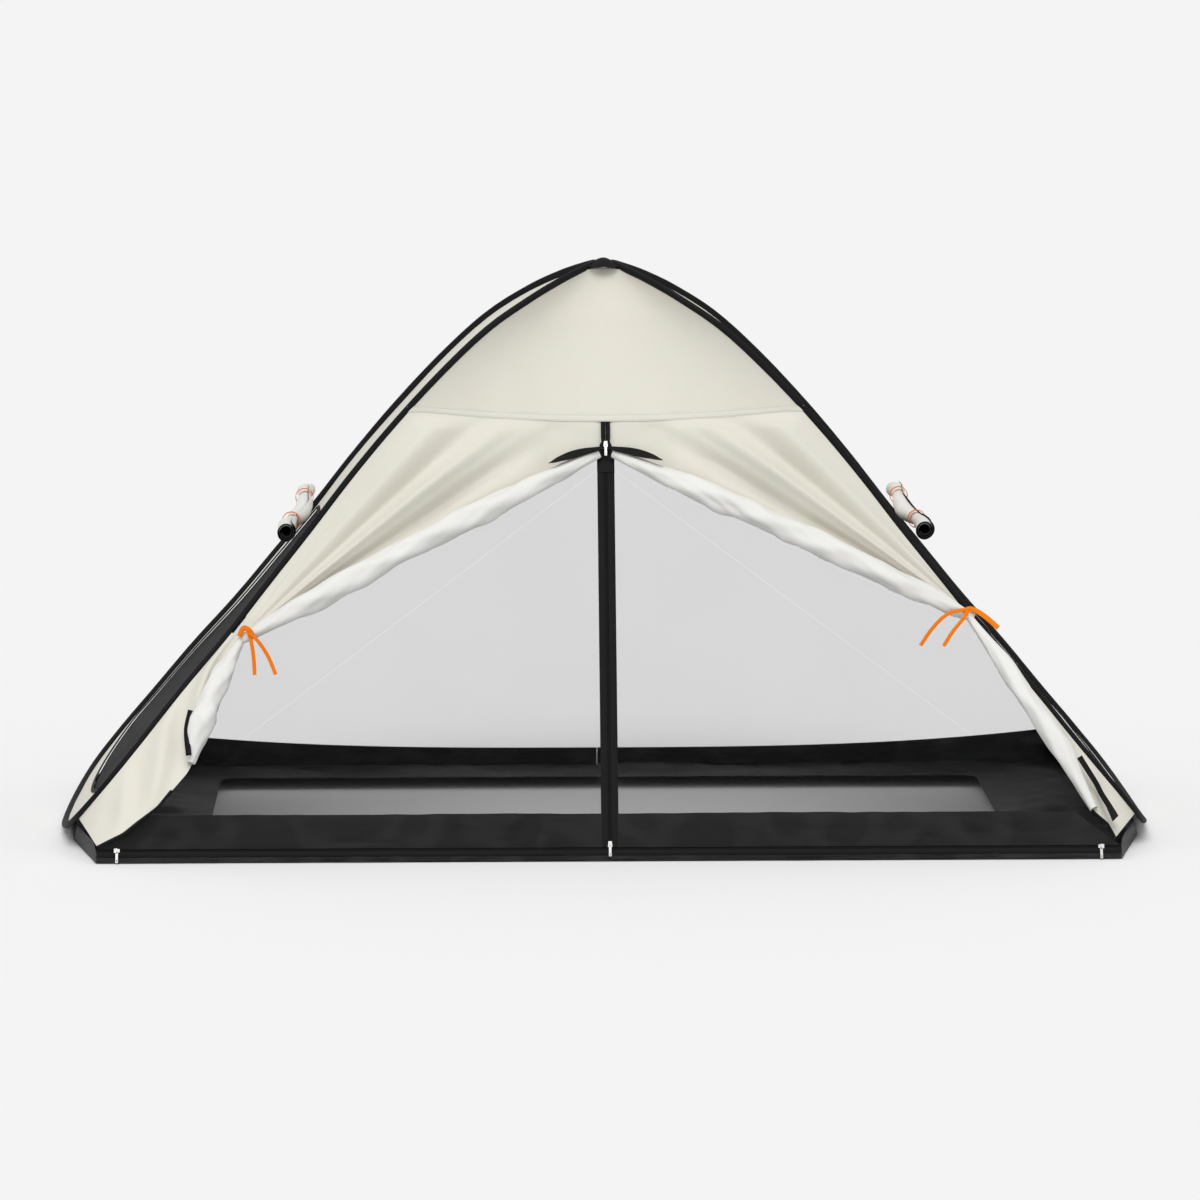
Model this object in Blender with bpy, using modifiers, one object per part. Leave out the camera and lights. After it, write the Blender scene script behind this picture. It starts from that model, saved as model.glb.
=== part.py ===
"""Pop-up bed tent: two spring-steel hoops under one crown, cream walls, mesh doors and a black floor rim.

Units are metres. +X runs along the bed, +Y points away from the door side and +Z is up.
The origin lies on the ground under the crown. Each hoop leans from the crown to one end of the bed,
so the tent folds about the crown like a book: both end hoops swing together.
"""

import math

import bmesh
import bpy
from mathutils import Matrix, Vector

# Overall sizes
TENT_HEIGHT = 1.10
HOOP_REACH = 1.055
HOOP_HALF_WIDTH = 0.385
FLOOR_HALF_WIDTH = 0.500
CORNER_INSET = 0.087

# Hoops
WIRE_RADIUS = 0.0025
SLEEVE_RADIUS = 0.0055
SLEEVE_WALL = 0.0010
SLEEVE_MOUTH = 0.012
FERRULE_RADIUS = 0.0037
FERRULE_WALL = 0.0007
FERRULE_HALF_LENGTH = 0.020
HOOP_STEPS = 36

# Fabric
CLOTH = 0.0012
SEAT_GAP = 0.0006
LAYER_STEP = 0.0030
OUTER_LAYER = 0.0120
CROWN_HALF_X = 0.030
CROWN_HALF_Y = 0.035
SEAM_HEIGHT = 0.815
PANEL_TOP_DROP = 0.026
BACK_SEAM_HEIGHT = 0.760

# Door
ZIP_TOP_HEIGHT = 0.720
ZIP_TOP_DEPTH = 0.178
TRACK_HEIGHT = 0.024
TAPE_WIDTH = 0.016
TAPE_NECK = 0.0026
HEM_TAPE_WIDTH = 0.0122
KICK_BAND = 0.066
OUTER_TAPE_WIDTH = 0.0060
OUTER_ZIP_FOOT = 0.742
TIE_HEIGHT = 0.430
ROLL_START = 0.050
ROLL_RADIUS = 0.021
ROLL_TIP_RADIUS = 0.011

# Floor rim
LIP_HEIGHT = 0.028
LIP_DEPTH = 0.170
END_LIP_LENGTH = 0.290
SKIRT_WALL = 0.0015
SKIRT_FOOT = 0.016
BACK_SKIRT_HEIGHT = 0.060
BACK_CORNER_RISE = 0.045
HEM_HEIGHT = 0.0118
FRONT_CORNER_HEM = 0.030
FRONT_MESH_FOOT = 0.040

# End windows
WINDOW_MARGIN = 0.045
WINDOW_TOP = 0.600
WINDOW_FOOT = 0.075
COVER_RADIUS = 0.019
COVER_HALF_LENGTH = 0.190
STRAP_WIDTH = 0.009
STRAP_THICKNESS = 0.0012
STRAP_PLACE = 0.095

# Zip sliders and pullers
PLATE_LENGTH = 0.0110
PLATE_WIDTH = 0.0084
PLATE_THICKNESS = 0.0012
CHANNEL = 0.0022
NECK_WIDTH = 0.0044
NECK_LENGTH = 0.0050
BAIL_WIDTH = 0.0020
BAIL_BAR = 0.0012
BAIL_ROOM = 0.0018
BAIL_FOOT_LOW = -0.0026
BAIL_FOOT_HIGH = 0.0036
PULL_LENGTH = 0.0235
PULL_WIDTH = 0.0048
PULL_THICKNESS = 0.0010
EYE_BAR = 0.0010
EYE_WIDTH = 0.0026
EYE_LENGTH = 0.0040
SLIDER_REST = 0.0085
CORNER_SLIDER_INSET = 0.040
OUTER_SLIDER_HEIGHT = 0.752

COLOURS = {
    "steel": ((0.55, 0.55, 0.56), 0.35, 1.0),
    "black": ((0.020, 0.020, 0.022), 0.85, 0.0),
    "cream": ((0.78, 0.75, 0.67), 0.80, 0.0),
    "silver": ((0.82, 0.82, 0.80), 0.55, 0.0),
    "mesh": ((0.10, 0.10, 0.10), 0.90, 0.0),
    "orange": ((1.00, 0.25, 0.02), 0.70, 0.0),
    "zinc": ((0.85, 0.84, 0.82), 0.30, 1.0),
}

# Near half of a hoop, crown to foot, as shares of height, reach and half width
HOOP_ROUTE = (
    (0.9930, 0.017, 0.000),
    (0.9850, 0.038, 0.095),
    (0.9700, 0.075, 0.200),
    (0.9400, 0.134, 0.325),
    (0.8910, 0.211, 0.405),
    (0.8180, 0.294, 0.452),
    (0.7270, 0.383, 0.480),
    (0.6360, 0.463, 0.505),
    (0.5450, 0.537, 0.545),
    (0.4550, 0.613, 0.620),
    (0.3640, 0.690, 0.727),
    (0.2730, 0.773, 0.852),
    (0.1820, 0.851, 0.958),
    (0.1090, 0.915, 1.000),
    (0.0540, 0.963, 0.880),
    (0.0200, 0.990, 0.520),
    (0.0053, 1.000, 0.000),
)

SIDES = {"left": -1.0, "right": 1.0}


def clear_scene():
    for item in list(bpy.data.objects):
        bpy.data.objects.remove(item, do_unlink=True)


def make_collection(name):
    group = bpy.data.collections.new(name)
    bpy.context.scene.collection.children.link(group)
    return group


def make_material(name):
    colour, roughness, metallic = COLOURS[name]
    material = bpy.data.materials.new(name)
    material.use_nodes = True
    shader = material.node_tree.nodes["Principled BSDF"]
    shader.inputs["Base Color"].default_value = (*colour, 1.0)
    shader.inputs["Roughness"].default_value = roughness
    shader.inputs["Metallic"].default_value = metallic
    return material


clear_scene()
TENT = make_collection("pop_up_bed_tent")
CUTTERS = make_collection("cutters")
MATERIALS = {name: make_material(name) for name in COLOURS}


def add_object(name, data, colour, group=TENT):
    item = bpy.data.objects.new(name, data)
    group.objects.link(item)
    if data.materials:
        data.materials[0] = MATERIALS[colour]
    else:
        data.materials.append(MATERIALS[colour])
    return item


def as_mesh(item):
    """Mesh of an object as its modifiers leave it, with loose caps welded."""
    graph = bpy.context.evaluated_depsgraph_get()
    mesh = bpy.data.meshes.new_from_object(item.evaluated_get(graph))
    work = bmesh.new()
    work.from_mesh(mesh)
    bmesh.ops.remove_doubles(work, verts=work.verts, dist=0.000001)
    work.to_mesh(mesh)
    work.free()
    return mesh


def blend_between(low, high, share):
    return low + (high - low) * share


def value_at(stops, values, place):
    """Value on straight lines through the stops, which rise."""
    for start in range(len(stops) - 1):
        if place <= stops[start + 1] or start == len(stops) - 2:
            share = (place - stops[start]) / (stops[start + 1] - stops[start])
            return blend_between(values[start], values[start + 1], share)
    return values[-1]


def even_points(points, count):
    """The polyline through the points, cut into count equal steps."""
    run = [0.0]
    for before, after in zip(points, points[1:]):
        run.append(run[-1] + (after - before).length)
    return [value_at(run, points, run[-1] * step / count) for step in range(count + 1)]


def smooth_path(points, count, before=None, after=None):
    """A smooth curve through the points, as count equal steps. Ghost points steer both ends."""
    first = before or points[0] * 2 - points[1]
    last = after or points[-1] * 2 - points[-2]
    chain = [first, *points, last]
    run = [0.0]
    for start, end in zip(chain, chain[1:]):
        run.append(run[-1] + (end - start).length)
    fine = []
    for index in range(1, len(chain) - 2):
        low, high = chain[index], chain[index + 1]
        span = run[index + 1] - run[index]
        slope_low = (high - chain[index - 1]) / (run[index + 1] - run[index - 1]) * span
        slope_high = (chain[index + 2] - low) / (run[index + 2] - run[index]) * span
        for step in range(12):
            t = step / 12
            curve = low * (2 * t**3 - 3 * t**2 + 1) + high * (3 * t**2 - 2 * t**3)
            fine.append(curve + slope_low * (t**3 - 2 * t**2 + t) + slope_high * (t**3 - t**2))
    fine.append(points[-1])
    return even_points(fine, count)


def mirror_y(point):
    return Vector((point.x, -point.y, point.z))


def hoop_half():
    """Near half of the right hoop's centre line, from the crown to the foot."""
    route = [
        Vector((reach * HOOP_REACH, -width * HOOP_HALF_WIDTH, height * TENT_HEIGHT))
        for height, reach, width in HOOP_ROUTE
    ]
    return smooth_path(route, HOOP_STEPS, mirror_y(route[1]), mirror_y(route[-2]))


HOOP = hoop_half()
LEG_HEIGHTS = [point.z for point in reversed(HOOP)]
LEG_POINTS = list(reversed(HOOP))


def leg(height):
    """Point of the right hoop's near leg at a height."""
    return value_at(LEG_HEIGHTS, LEG_POINTS, height)


def leg_slope(height):
    step = 0.01
    return (leg(height + step) - leg(height - step)).normalized()


CORNER_X = HOOP_REACH - CORNER_INSET
WALL_SLOPE = (FLOOR_HALF_WIDTH - ZIP_TOP_DEPTH) / ZIP_TOP_HEIGHT


def plane_depth(height):
    """Distance of the flat middle of a wall from the tent's long middle plane."""
    return FLOOR_HALF_WIDTH - WALL_SLOPE * height


def fold_x(height):
    """Distance from the centre of the line between the zip's top and the floor's corner."""
    drop = (ZIP_TOP_HEIGHT - height) / (ZIP_TOP_HEIGHT - TRACK_HEIGHT)
    return max(0.0, CORNER_X * drop)


def wall_depth(x, height):
    """Depth of a wall at a place: flat between the fold lines, then bent back to the hoop."""
    edge = leg(height)
    inner = min(fold_x(height), edge.x - 0.001)
    if x <= inner:
        return plane_depth(height)
    share = min(1.0, (x - inner) / (edge.x - inner))
    return blend_between(plane_depth(height), -edge.y, share)


def leg_edge(height, x_inner, lift):
    """Where a wall's row ends beside the sleeve, lift in front of the hoop's centre."""
    edge = leg(height)
    inner = Vector((x_inner, -wall_depth(x_inner, height), height))
    across = (inner - edge).normalized()
    reach = math.sqrt((SLEEVE_RADIUS + 1.8 * SEAT_GAP) ** 2 - lift**2)
    normal = across.cross(leg_slope(height))
    outward = normal.normalized() * (-1 if normal.y > 0 else 1)
    return edge + across * (reach / normal.length) + outward * lift


def tube(name, points, radius, colour, caps=True):
    curve = bpy.data.curves.new(name, "CURVE")
    curve.dimensions = "3D"
    curve.bevel_depth = radius
    curve.bevel_resolution = 2
    curve.use_fill_caps = caps
    spline = curve.splines.new("POLY")
    spline.points.add(len(points) - 1)
    for slot, point in zip(spline.points, points):
        slot.co = (*point, 1.0)
    return add_object(name, curve, colour)


def tapered_tube(name, points, radii, colour):
    item = tube(name, points, 1.0, colour)
    item.data.bevel_resolution = 4
    for slot, radius in zip(item.data.splines[0].points, radii):
        slot.radius = radius
    return item


def hollow_tube(name, points, radius, wall, colour):
    guide = tube(name + "_guide", points, radius, colour, caps=False)
    item = add_object(name, as_mesh(guide), colour)
    bpy.data.objects.remove(guide, do_unlink=True)
    shell = item.modifiers.new("wall", "SOLIDIFY")
    shell.thickness = wall
    shell.offset = -1.0
    return item


def plate(name, outline, thickness, matrix, colour):
    curve = bpy.data.curves.new(name, "CURVE")
    curve.dimensions = "2D"
    curve.fill_mode = "BOTH"
    curve.extrude = thickness / 2
    spline = curve.splines.new("POLY")
    spline.points.add(len(outline) - 1)
    for slot, (u, v) in zip(spline.points, outline):
        slot.co = (u, v, 0.0, 1.0)
    spline.use_cyclic_u = True
    item = add_object(name, curve, colour)
    item.matrix_world = matrix
    return item


def sheet(name, rows, colour, thickness=CLOTH):
    """Cloth lofted through rows of points that all have the same count."""
    work = bmesh.new()
    grid = [[work.verts.new(point) for point in row] for row in rows]
    for upper, lower in zip(grid, grid[1:]):
        for column in range(len(upper) - 1):
            work.faces.new((upper[column], upper[column + 1], lower[column + 1]))
            work.faces.new((upper[column], lower[column + 1], lower[column]))
    mesh = bpy.data.meshes.new(name)
    work.to_mesh(mesh)
    work.free()
    item = add_object(name, mesh, colour)
    shell = item.modifiers.new("cloth", "SOLIDIFY")
    shell.thickness = thickness
    shell.offset = 0.0
    return item


def on_side(point, side):
    return Vector((point[0] * side, point[1], point[2]))


def heights_between(top, bottom, count):
    return [blend_between(top, bottom, step / count) for step in range(count + 1)]


def hoop_heights(top, bottom):
    """Heights from top to bottom with every corner of the hoop's line between them."""
    inside = [point.z for point in HOOP if bottom + 0.006 < point.z < top - 0.006]
    return [top, *inside, bottom]


def row_between(start, end, count):
    return [start.lerp(end, step / count) for step in range(count + 1)]


# Hoops: wire, crimped ferrule at the foot, and the sewn sleeve around them
def full_hoop(side, mouth):
    """Centre line of a whole hoop, open by mouth each side of its foot."""
    near = list(reversed(HOOP))
    start = near[0].lerp(near[1], mouth / (near[1] - near[0]).length)
    near = [start, *near[1:]]
    far = [mirror_y(point) for point in reversed(near[:-1])]
    return [on_side(point, side) for point in near + far]


def make_hoop(word, side):
    tube(f"hoop_wire_{word}", full_hoop(side, 0.001), WIRE_RADIUS, "steel")
    sleeve_path = full_hoop(side, SLEEVE_MOUTH)
    hollow_tube(f"hoop_sleeve_{word}", sleeve_path, SLEEVE_RADIUS, SLEEVE_WALL, "black")
    foot = HOOP[-1]
    toward = foot.lerp(HOOP[-2], FERRULE_HALF_LENGTH / (HOOP[-2] - foot).length)
    crimp = [on_side(point, side) for point in (toward, foot, mirror_y(toward))]
    hollow_tube(f"hoop_ferrule_{word}", crimp, FERRULE_RADIUS, FERRULE_WALL, "steel")


# End panels: one cloth across each hoop, with a window, its rolled cover and two straps
def end_rows():
    """Rows of the right end panel, from near to far side, kept inside the hoop's sleeve."""
    rows = []
    inset = SLEEVE_RADIUS + SEAT_GAP / 2
    lean = Vector((1, 0, -1)).normalized()
    for index in range(2, len(HOOP) - 1):
        along = (HOOP[index + 1] - HOOP[index - 1]).normalized()
        profile = Vector((along.x, 0, along.z))
        if profile.length > 0.05:
            lean = profile.normalized()
        down = along.dot(lean)
        inward = Vector((0, 1, 0)) * down - lean * along.y
        near = HOOP[index] + inward.normalized() * inset
        if near.y < -0.015:
            rows.append(row_between(near, mirror_y(near), 6))
    return rows


def window_outline(margin):
    """Window as (y, z) points: straight top, sides that follow the hoop, round foot."""
    points = []
    low = WINDOW_FOOT + 0.085
    for height in heights_between(WINDOW_TOP - margin, low, 6):
        points.append((-leg(height).y - WINDOW_MARGIN - margin, height))
    half = points[-1][0]
    drop = low - WINDOW_FOOT - margin
    for step in range(1, 6):
        angle = math.pi / 2 * step / 6
        points.append((half * math.cos(angle), low - drop * math.sin(angle)))
    points.append((0.0, low - drop))
    mirrored = [(-y, z) for y, z in reversed(points[:-1])]
    return points + mirrored


def window_cutter(name, margin):
    """A prism along X through both ends, in the window's outline."""
    facing = Matrix(((0, 0, 1, 0), (1, 0, 0, 0), (0, 1, 0, 0), (0, 0, 0, 1)))
    guide = plate(name + "_guide", window_outline(margin), 4 * HOOP_REACH, facing, "mesh")
    item = add_object(name, as_mesh(guide), "mesh", CUTTERS)
    item.matrix_world = guide.matrix_world
    bpy.data.objects.remove(guide, do_unlink=True)
    item.hide_render = True
    item.display_type = "WIRE"
    return item


def cut(item, cutter, operation):
    step = item.modifiers.new("window", "BOOLEAN")
    step.operation = operation
    step.solver = "EXACT"
    step.object = cutter


def make_end(word, side, hole, pane):
    rows = [[on_side(point, side) for point in row] for row in end_rows()]
    panel = sheet(f"end_panel_{word}", rows, "cream")
    cut(panel, hole, "DIFFERENCE")
    window = sheet(f"window_mesh_{word}", rows, "mesh")
    cut(window, pane, "INTERSECT")
    top = leg(WINDOW_TOP)
    slope = leg_slope(WINDOW_TOP)
    outward = Vector((slope.z, 0, -slope.x)).normalized()
    if outward.z < 0:
        outward = -outward
    offset = CLOTH / 2 + STRAP_THICKNESS + 2 * SEAT_GAP + COVER_RADIUS
    centre = Vector((top.x, 0, top.z)) + outward * offset
    reach = Vector((0, COVER_HALF_LENGTH, 0))
    ends = [on_side(centre - reach, side), on_side(centre + reach, side)]
    roll = tube(f"window_cover_roll_{word}", ends, COVER_RADIUS, "silver")
    roll.data.bevel_resolution = 6
    for place, along in (("near", -STRAP_PLACE), ("far", STRAP_PLACE)):
        spot = on_side(centre, side) + Vector((0, along, 0))
        make_strap(f"window_strap_{place}_{word}", spot)


def make_strap(name, centre):
    """A strap looped round a rolled cover, turned about the roll's axis."""
    inner = COVER_RADIUS + SEAT_GAP
    outer = inner + STRAP_THICKNESS
    half = STRAP_WIDTH / 2
    work = bmesh.new()
    corners = ((inner, -half), (outer, -half), (outer, half), (inner, half))
    verts = [work.verts.new((radius, along, 0)) for radius, along in corners]
    edges = [work.edges.new((verts[i], verts[(i + 1) % 4])) for i in range(4)]
    bmesh.ops.spin(
        work,
        geom=verts + edges,
        axis=(0, 1, 0),
        cent=(0, 0, 0),
        angle=2 * math.pi,
        steps=24,
        use_merge=True,
    )
    bmesh.ops.recalc_face_normals(work, faces=work.faces)
    mesh = bpy.data.meshes.new(name)
    work.to_mesh(mesh)
    work.free()
    item = add_object(name, mesh, "orange")
    item.location = centre


# Cream walls above the seams
def upper_panel(name, side, facing, bottom, layer):
    """Wall from under the crown to a seam. facing is 1 at the door and -1 at the back."""
    rows = []
    for height in hoop_heights(TENT_HEIGHT - PANEL_TOP_DROP, bottom):
        middle = Vector((SEAT_GAP, -plane_depth(height) - layer, height))
        edge = leg_edge(height, 0.0, LAYER_STEP)
        row = [on_side(point, side) for point in row_between(edge, middle, 6)]
        rows.append([Vector((point.x, facing * point.y, point.z)) for point in row])
    sheet(name, rows, "cream")


def roll_line():
    """Centre line of the right upper roll with its radius, from the zip's top to the tie."""
    start_height = ZIP_TOP_HEIGHT - 0.003
    end_x = leg(TIE_HEIGHT).x - 0.030
    points = []
    for step in range(13):
        share = step / 12
        x = blend_between(ROLL_START, end_x, share)
        height = blend_between(start_height, TIE_HEIGHT, share) + 0.012 * math.sin(math.pi * share)
        radius = blend_between(ROLL_TIP_RADIUS, ROLL_RADIUS, min(1.0, share * 2.5))
        depth = wall_depth(x, height) + LAYER_STEP + CLOTH + SEAT_GAP + radius
        points.append((Vector((x, -depth, height)), radius))
    return points


def make_flap(word, side):
    """Outer door leaf: the cloth above the roll, and the rolled cloth itself."""
    line = roll_line()
    tapered_tube(
        f"flap_roll_{word}",
        [on_side(point, side) for point, radius in line],
        [radius for point, radius in line],
        "silver",
    )
    tip = line[0][0]
    inner_x = TAPE_NECK + OUTER_TAPE_WIDTH + SEAT_GAP
    path = []
    for height in (SEAM_HEIGHT - SEAT_GAP, 0.790, 0.765):
        path.append(Vector((inner_x, -plane_depth(height) - OUTER_LAYER, height)))
    path.append(Vector((tip.x - 0.015, tip.y + 0.004, tip.z + line[0][1] + 0.014)))
    for index in range(1, len(line)):
        point, radius = line[index]
        along = (point - line[index - 1][0]).normalized()
        upward = Vector((-along.z, 0, along.x)).normalized()
        path.append(point + upward * (radius + 1.3 * SEAT_GAP))
    heights = hoop_heights(SEAM_HEIGHT - SEAT_GAP, TIE_HEIGHT + 0.035)
    rows = []
    for height, end in zip(heights, even_points(path, len(heights) - 1)):
        edge = leg_edge(height, 0.0, LAYER_STEP)
        rows.append([on_side(point, side) for point in row_between(edge, end, 5)])
    sheet(f"outer_flap_{word}", rows, "cream")


# Lower part of each outer leaf: (x, height) routes for the roll and the loose edge, and the tape
# as its share of the way down with its distance from that edge
LOWER_ROLL = {
    "left": ((0.707, 0.398), (0.737, 0.330), (0.766, 0.255), (0.792, 0.182)),
    "right": ((0.714, 0.396), (0.762, 0.320), (0.812, 0.244), (0.862, 0.165), (0.908, 0.080)),
}
LOOSE_EDGE = {
    "left": ((0.828, 0.172), (0.905, 0.105), (0.960, 0.030)),
    "right": ((0.938, 0.056), (0.950, 0.034)),
}
FLAP_TAPE = {
    "left": ((0.42, 0.032), (0.60, 0.014)),
    "right": ((0.62, 0.010), (0.74, 0.024), (0.84, 0.019), (0.90, 0.012)),
}
FLAP_TAPE_WIDTH = 0.011
LOWER_ROLL_NECK = 0.016
LOWER_ROLL_RADIUS = 0.019
LOWER_ROLL_TIP = {"left": 0.017, "right": 0.010}
FLAP_FOOT_ON_HOOP = 0.066


def front_point(x, height, lift):
    """Point in front of the door wall by a lift along the wall's normal."""
    reach = 0.02
    wide = [Vector((x + d, -wall_depth(x + d, height), height)) for d in (-reach, reach)]
    tall = [Vector((x, -wall_depth(x, height + d), height + d)) for d in (-reach, reach)]
    normal = (wide[1] - wide[0]).cross(tall[1] - tall[0]).normalized()
    return Vector((x, -wall_depth(x, height), height)) + normal * lift


def scaled(route):
    """Chosen points, moved with the corner and the tie when the hoop changes size."""
    near = leg(TIE_HEIGHT).x
    grow = (CORNER_X - near) / (0.968 - 0.703)
    return [Vector((near + (x - 0.703) * grow, 0, z)) for x, z in route]


def lower_roll_line(word):
    """Centre points of the lower roll with their radii, and its edge towards the hoop."""
    spots = smooth_path(scaled(LOWER_ROLL[word]), 2 * len(LOWER_ROLL[word]))
    line = []
    edge = []
    for index, spot in enumerate(spots):
        radii = (LOWER_ROLL_NECK, LOWER_ROLL_RADIUS, LOWER_ROLL_RADIUS, LOWER_ROLL_TIP[word])
        radius = value_at((0.0, 0.3, 0.7, 1.0), radii, index / (len(spots) - 1))
        lift = LAYER_STEP + CLOTH + SEAT_GAP + radius
        line.append((front_point(spot.x, spot.z, lift), radius))
    for index, (centre, radius) in enumerate(line):
        along = line[min(index + 1, len(line) - 1)][0] - line[max(index - 1, 0)][0]
        to_hoop = leg_edge(centre.z, fold_x(centre.z), LAYER_STEP) - centre
        to_hoop -= along * (to_hoop.dot(along) / along.length_squared)
        edge.append(centre + to_hoop.normalized() * (radius + 2 * SEAT_GAP))
    return line, edge


def above_cloth(rows, down, inwards, lift):
    """Point above a lofted cloth: a share of the way down and a distance in from its last column."""
    first = min(int(down * (len(rows) - 1)), len(rows) - 2)
    part = down * (len(rows) - 1) - first
    start = rows[first][-1].lerp(rows[first + 1][-1], part)
    end = rows[first][0].lerp(rows[first + 1][0], part)
    across = (end - start).normalized()
    fall = rows[first + 1][-1] - rows[first][-1]
    return start + across * inwards + fall.cross(across).normalized() * lift


def make_lower_flap(word, side):
    line, edge = lower_roll_line(word)
    points = [on_side(point, side) for point, radius in line]
    tapered_tube(f"lower_flap_roll_{word}", points, [radius for point, radius in line], "silver")
    loose = [front_point(spot.x, spot.z, LAYER_STEP * 2) for spot in scaled(LOOSE_EDGE[word])]
    heights = hoop_heights(TIE_HEIGHT - 0.022, FLAP_FOOT_ON_HOOP)
    rows = []
    for height, inner in zip(heights, even_points([*edge, *loose], len(heights) - 1)):
        outer = leg_edge(height, fold_x(height), LAYER_STEP)
        rows.append(row_between(outer, inner, 4))
    sheet(f"flap_corner_{word}", [[on_side(point, side) for point in row] for row in rows], "cream")
    half = FLAP_TAPE_WIDTH / 2
    tape = []
    for spot in even_points([Vector((*place, 0)) for place in FLAP_TAPE[word]], 8):
        places = (spot.y - half, spot.y, spot.y + half)
        lifted = [above_cloth(rows, spot.x, place, CLOTH + 1.6 * SEAT_GAP) for place in places]
        tape.append([on_side(point, side) for point in lifted])
    sheet(f"flap_zip_tape_{word}", tape, "black")


# Orange ties that hold the rolled leaves to the hoops: a flat knot with two tails
TIE_OUTLINE = {
    "left": (
        (-0.011, 0.004), (-0.004, 0.011), (0.009, 0.009), (0.013, 0.000), (0.034, -0.030),
        (0.060, -0.078), (0.051, -0.080), (0.026, -0.036), (0.009, -0.014), (0.021, -0.079),
        (0.012, -0.080), (-0.001, -0.016), (-0.010, -0.008),
    ),
    "right": (
        (0.011, 0.004), (0.004, 0.011), (-0.009, 0.009), (-0.040, -0.010), (-0.092, -0.064),
        (-0.085, -0.069), (-0.036, -0.020), (-0.022, -0.016), (-0.050, -0.066),
        (-0.042, -0.070), (-0.010, -0.014), (0.004, -0.010), (0.011, -0.005),
    ),
}
TIE_THICKNESS = 0.0040


def door_frame(side, lift, x=0.0, up=0.0):
    """Frame on the door plane: first axis along X, second up the slope, third outwards."""
    run = math.hypot(1.0, WALL_SLOPE)
    slope = Vector((0, WALL_SLOPE / run, 1 / run))
    normal = Vector((0, -1 / run, WALL_SLOPE / run))
    origin = Vector((0, -plane_depth(TRACK_HEIGHT), TRACK_HEIGHT))
    spot = origin + Vector((x * side, 0, 0)) + slope * up + normal * lift
    across = Vector((1, 0, 0))
    frame = Matrix((across, slope, normal)).transposed().to_4x4()
    frame.translation = spot
    return frame


def make_tie(word, side):
    point, radius = roll_line()[-2]
    frame = door_frame(side, 0.0)
    normal = frame.to_3x3() @ Vector((0, 0, 1))
    front = on_side(point, side) + normal * (radius + 3 * SEAT_GAP + TIE_THICKNESS / 2)
    frame.translation = front
    plate(f"flap_tie_{word}", TIE_OUTLINE[word], TIE_THICKNESS, frame, "orange")


# Outer door zip: two short tapes from the seam to the rolls
def make_outer_tape(word, side):
    run = math.hypot(1.0, WALL_SLOPE)
    lift = OUTER_LAYER / run
    top = (SEAM_HEIGHT - SEAT_GAP - TRACK_HEIGHT) * run - lift * WALL_SLOPE
    foot = (OUTER_ZIP_FOOT - TRACK_HEIGHT) * run - lift * WALL_SLOPE
    near = TAPE_NECK
    far = TAPE_NECK + OUTER_TAPE_WIDTH
    outline = (
        (near * side, top),
        (far * side, top),
        (far * side, foot + 0.018),
        ((far + 0.022) * side, foot + 0.004),
        ((far + 0.018) * side, foot - 0.001),
        (near * side, foot + 0.003),
    )
    plate(f"outer_zip_tape_{word}", outline, CLOTH, door_frame(side, lift), "black")


# Mesh door: two leaves zipped in the middle and along the floor, hinged on the fold lines
def leaf_edge(up):
    """Distance of the fold line from the middle, measured up the slope from the track."""
    full = (ZIP_TOP_HEIGHT - TRACK_HEIGHT) * math.hypot(1.0, WALL_SLOPE)
    return CORNER_X * (1 - up / full)


def leaf_up(x):
    full = (ZIP_TOP_HEIGHT - TRACK_HEIGHT) * math.hypot(1.0, WALL_SLOPE)
    return full * (1 - x / CORNER_X)


def make_leaf(word, side):
    clear = 0.0016
    low = TAPE_NECK
    high = KICK_BAND
    inner = TAPE_NECK
    outer = TAPE_WIDTH
    tape = (
        (inner, low),
        (leaf_edge(low) - clear, low),
        (leaf_edge(high) - clear, high),
        (outer, high),
        (outer, leaf_up(outer) - clear),
        (inner, leaf_up(inner) - clear),
    )
    frame = door_frame(side, 0.0)
    outline = [(u * side, v) for u, v in tape]
    plate(f"mesh_zip_tape_{word}", outline, CLOTH, frame, "black")
    gap = SEAT_GAP
    mesh = (
        (outer + gap, high + gap),
        (leaf_edge(high + gap) - clear - gap, high + gap),
        (outer + gap, leaf_up(outer + gap) - clear - gap),
    )
    outline = [(u * side, v) for u, v in mesh]
    plate(f"mesh_door_{word}", outline, CLOTH, frame, "mesh")
    strip = (
        (inner, -low),
        (CORNER_X - clear, -low),
        (CORNER_X - clear, -HEM_TAPE_WIDTH),
        (inner, -HEM_TAPE_WIDTH),
    )
    outline = [(u * side, v) for u, v in strip]
    plate(f"bottom_zip_tape_{word}", outline, CLOTH, frame, "black")


def make_front_mesh(word, side):
    rows = []
    for height in hoop_heights(SEAM_HEIGHT - 0.010, FRONT_MESH_FOOT):
        inner = Vector((fold_x(height) + SEAT_GAP, -plane_depth(height), height))
        edge = leg_edge(height, fold_x(height), -LAYER_STEP)
        rows.append([on_side(point, side) for point in row_between(edge, inner, 3)])
    sheet(f"front_mesh_{word}", rows, "mesh")


RIM_SHARES = (0.0, 0.25, 0.5, 0.75, 0.92, 1.0)


def back_edge_height(x):
    """Top of the back skirt: it rises to the corner and drops again to the hoop's foot."""
    places = [CORNER_X * share for share in RIM_SHARES]
    tops = [BACK_SKIRT_HEIGHT + BACK_CORNER_RISE * share**3 for share in RIM_SHARES]
    drop = (x - CORNER_X) / (leg(0.030).x - CORNER_X)
    return value_at(places, tops, x) if x <= CORNER_X else tops[-1] - 0.082 * min(1.0, drop)


def front_edge_height(x):
    return HEM_HEIGHT if x < CORNER_X + 0.010 else FRONT_CORNER_HEM


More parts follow.
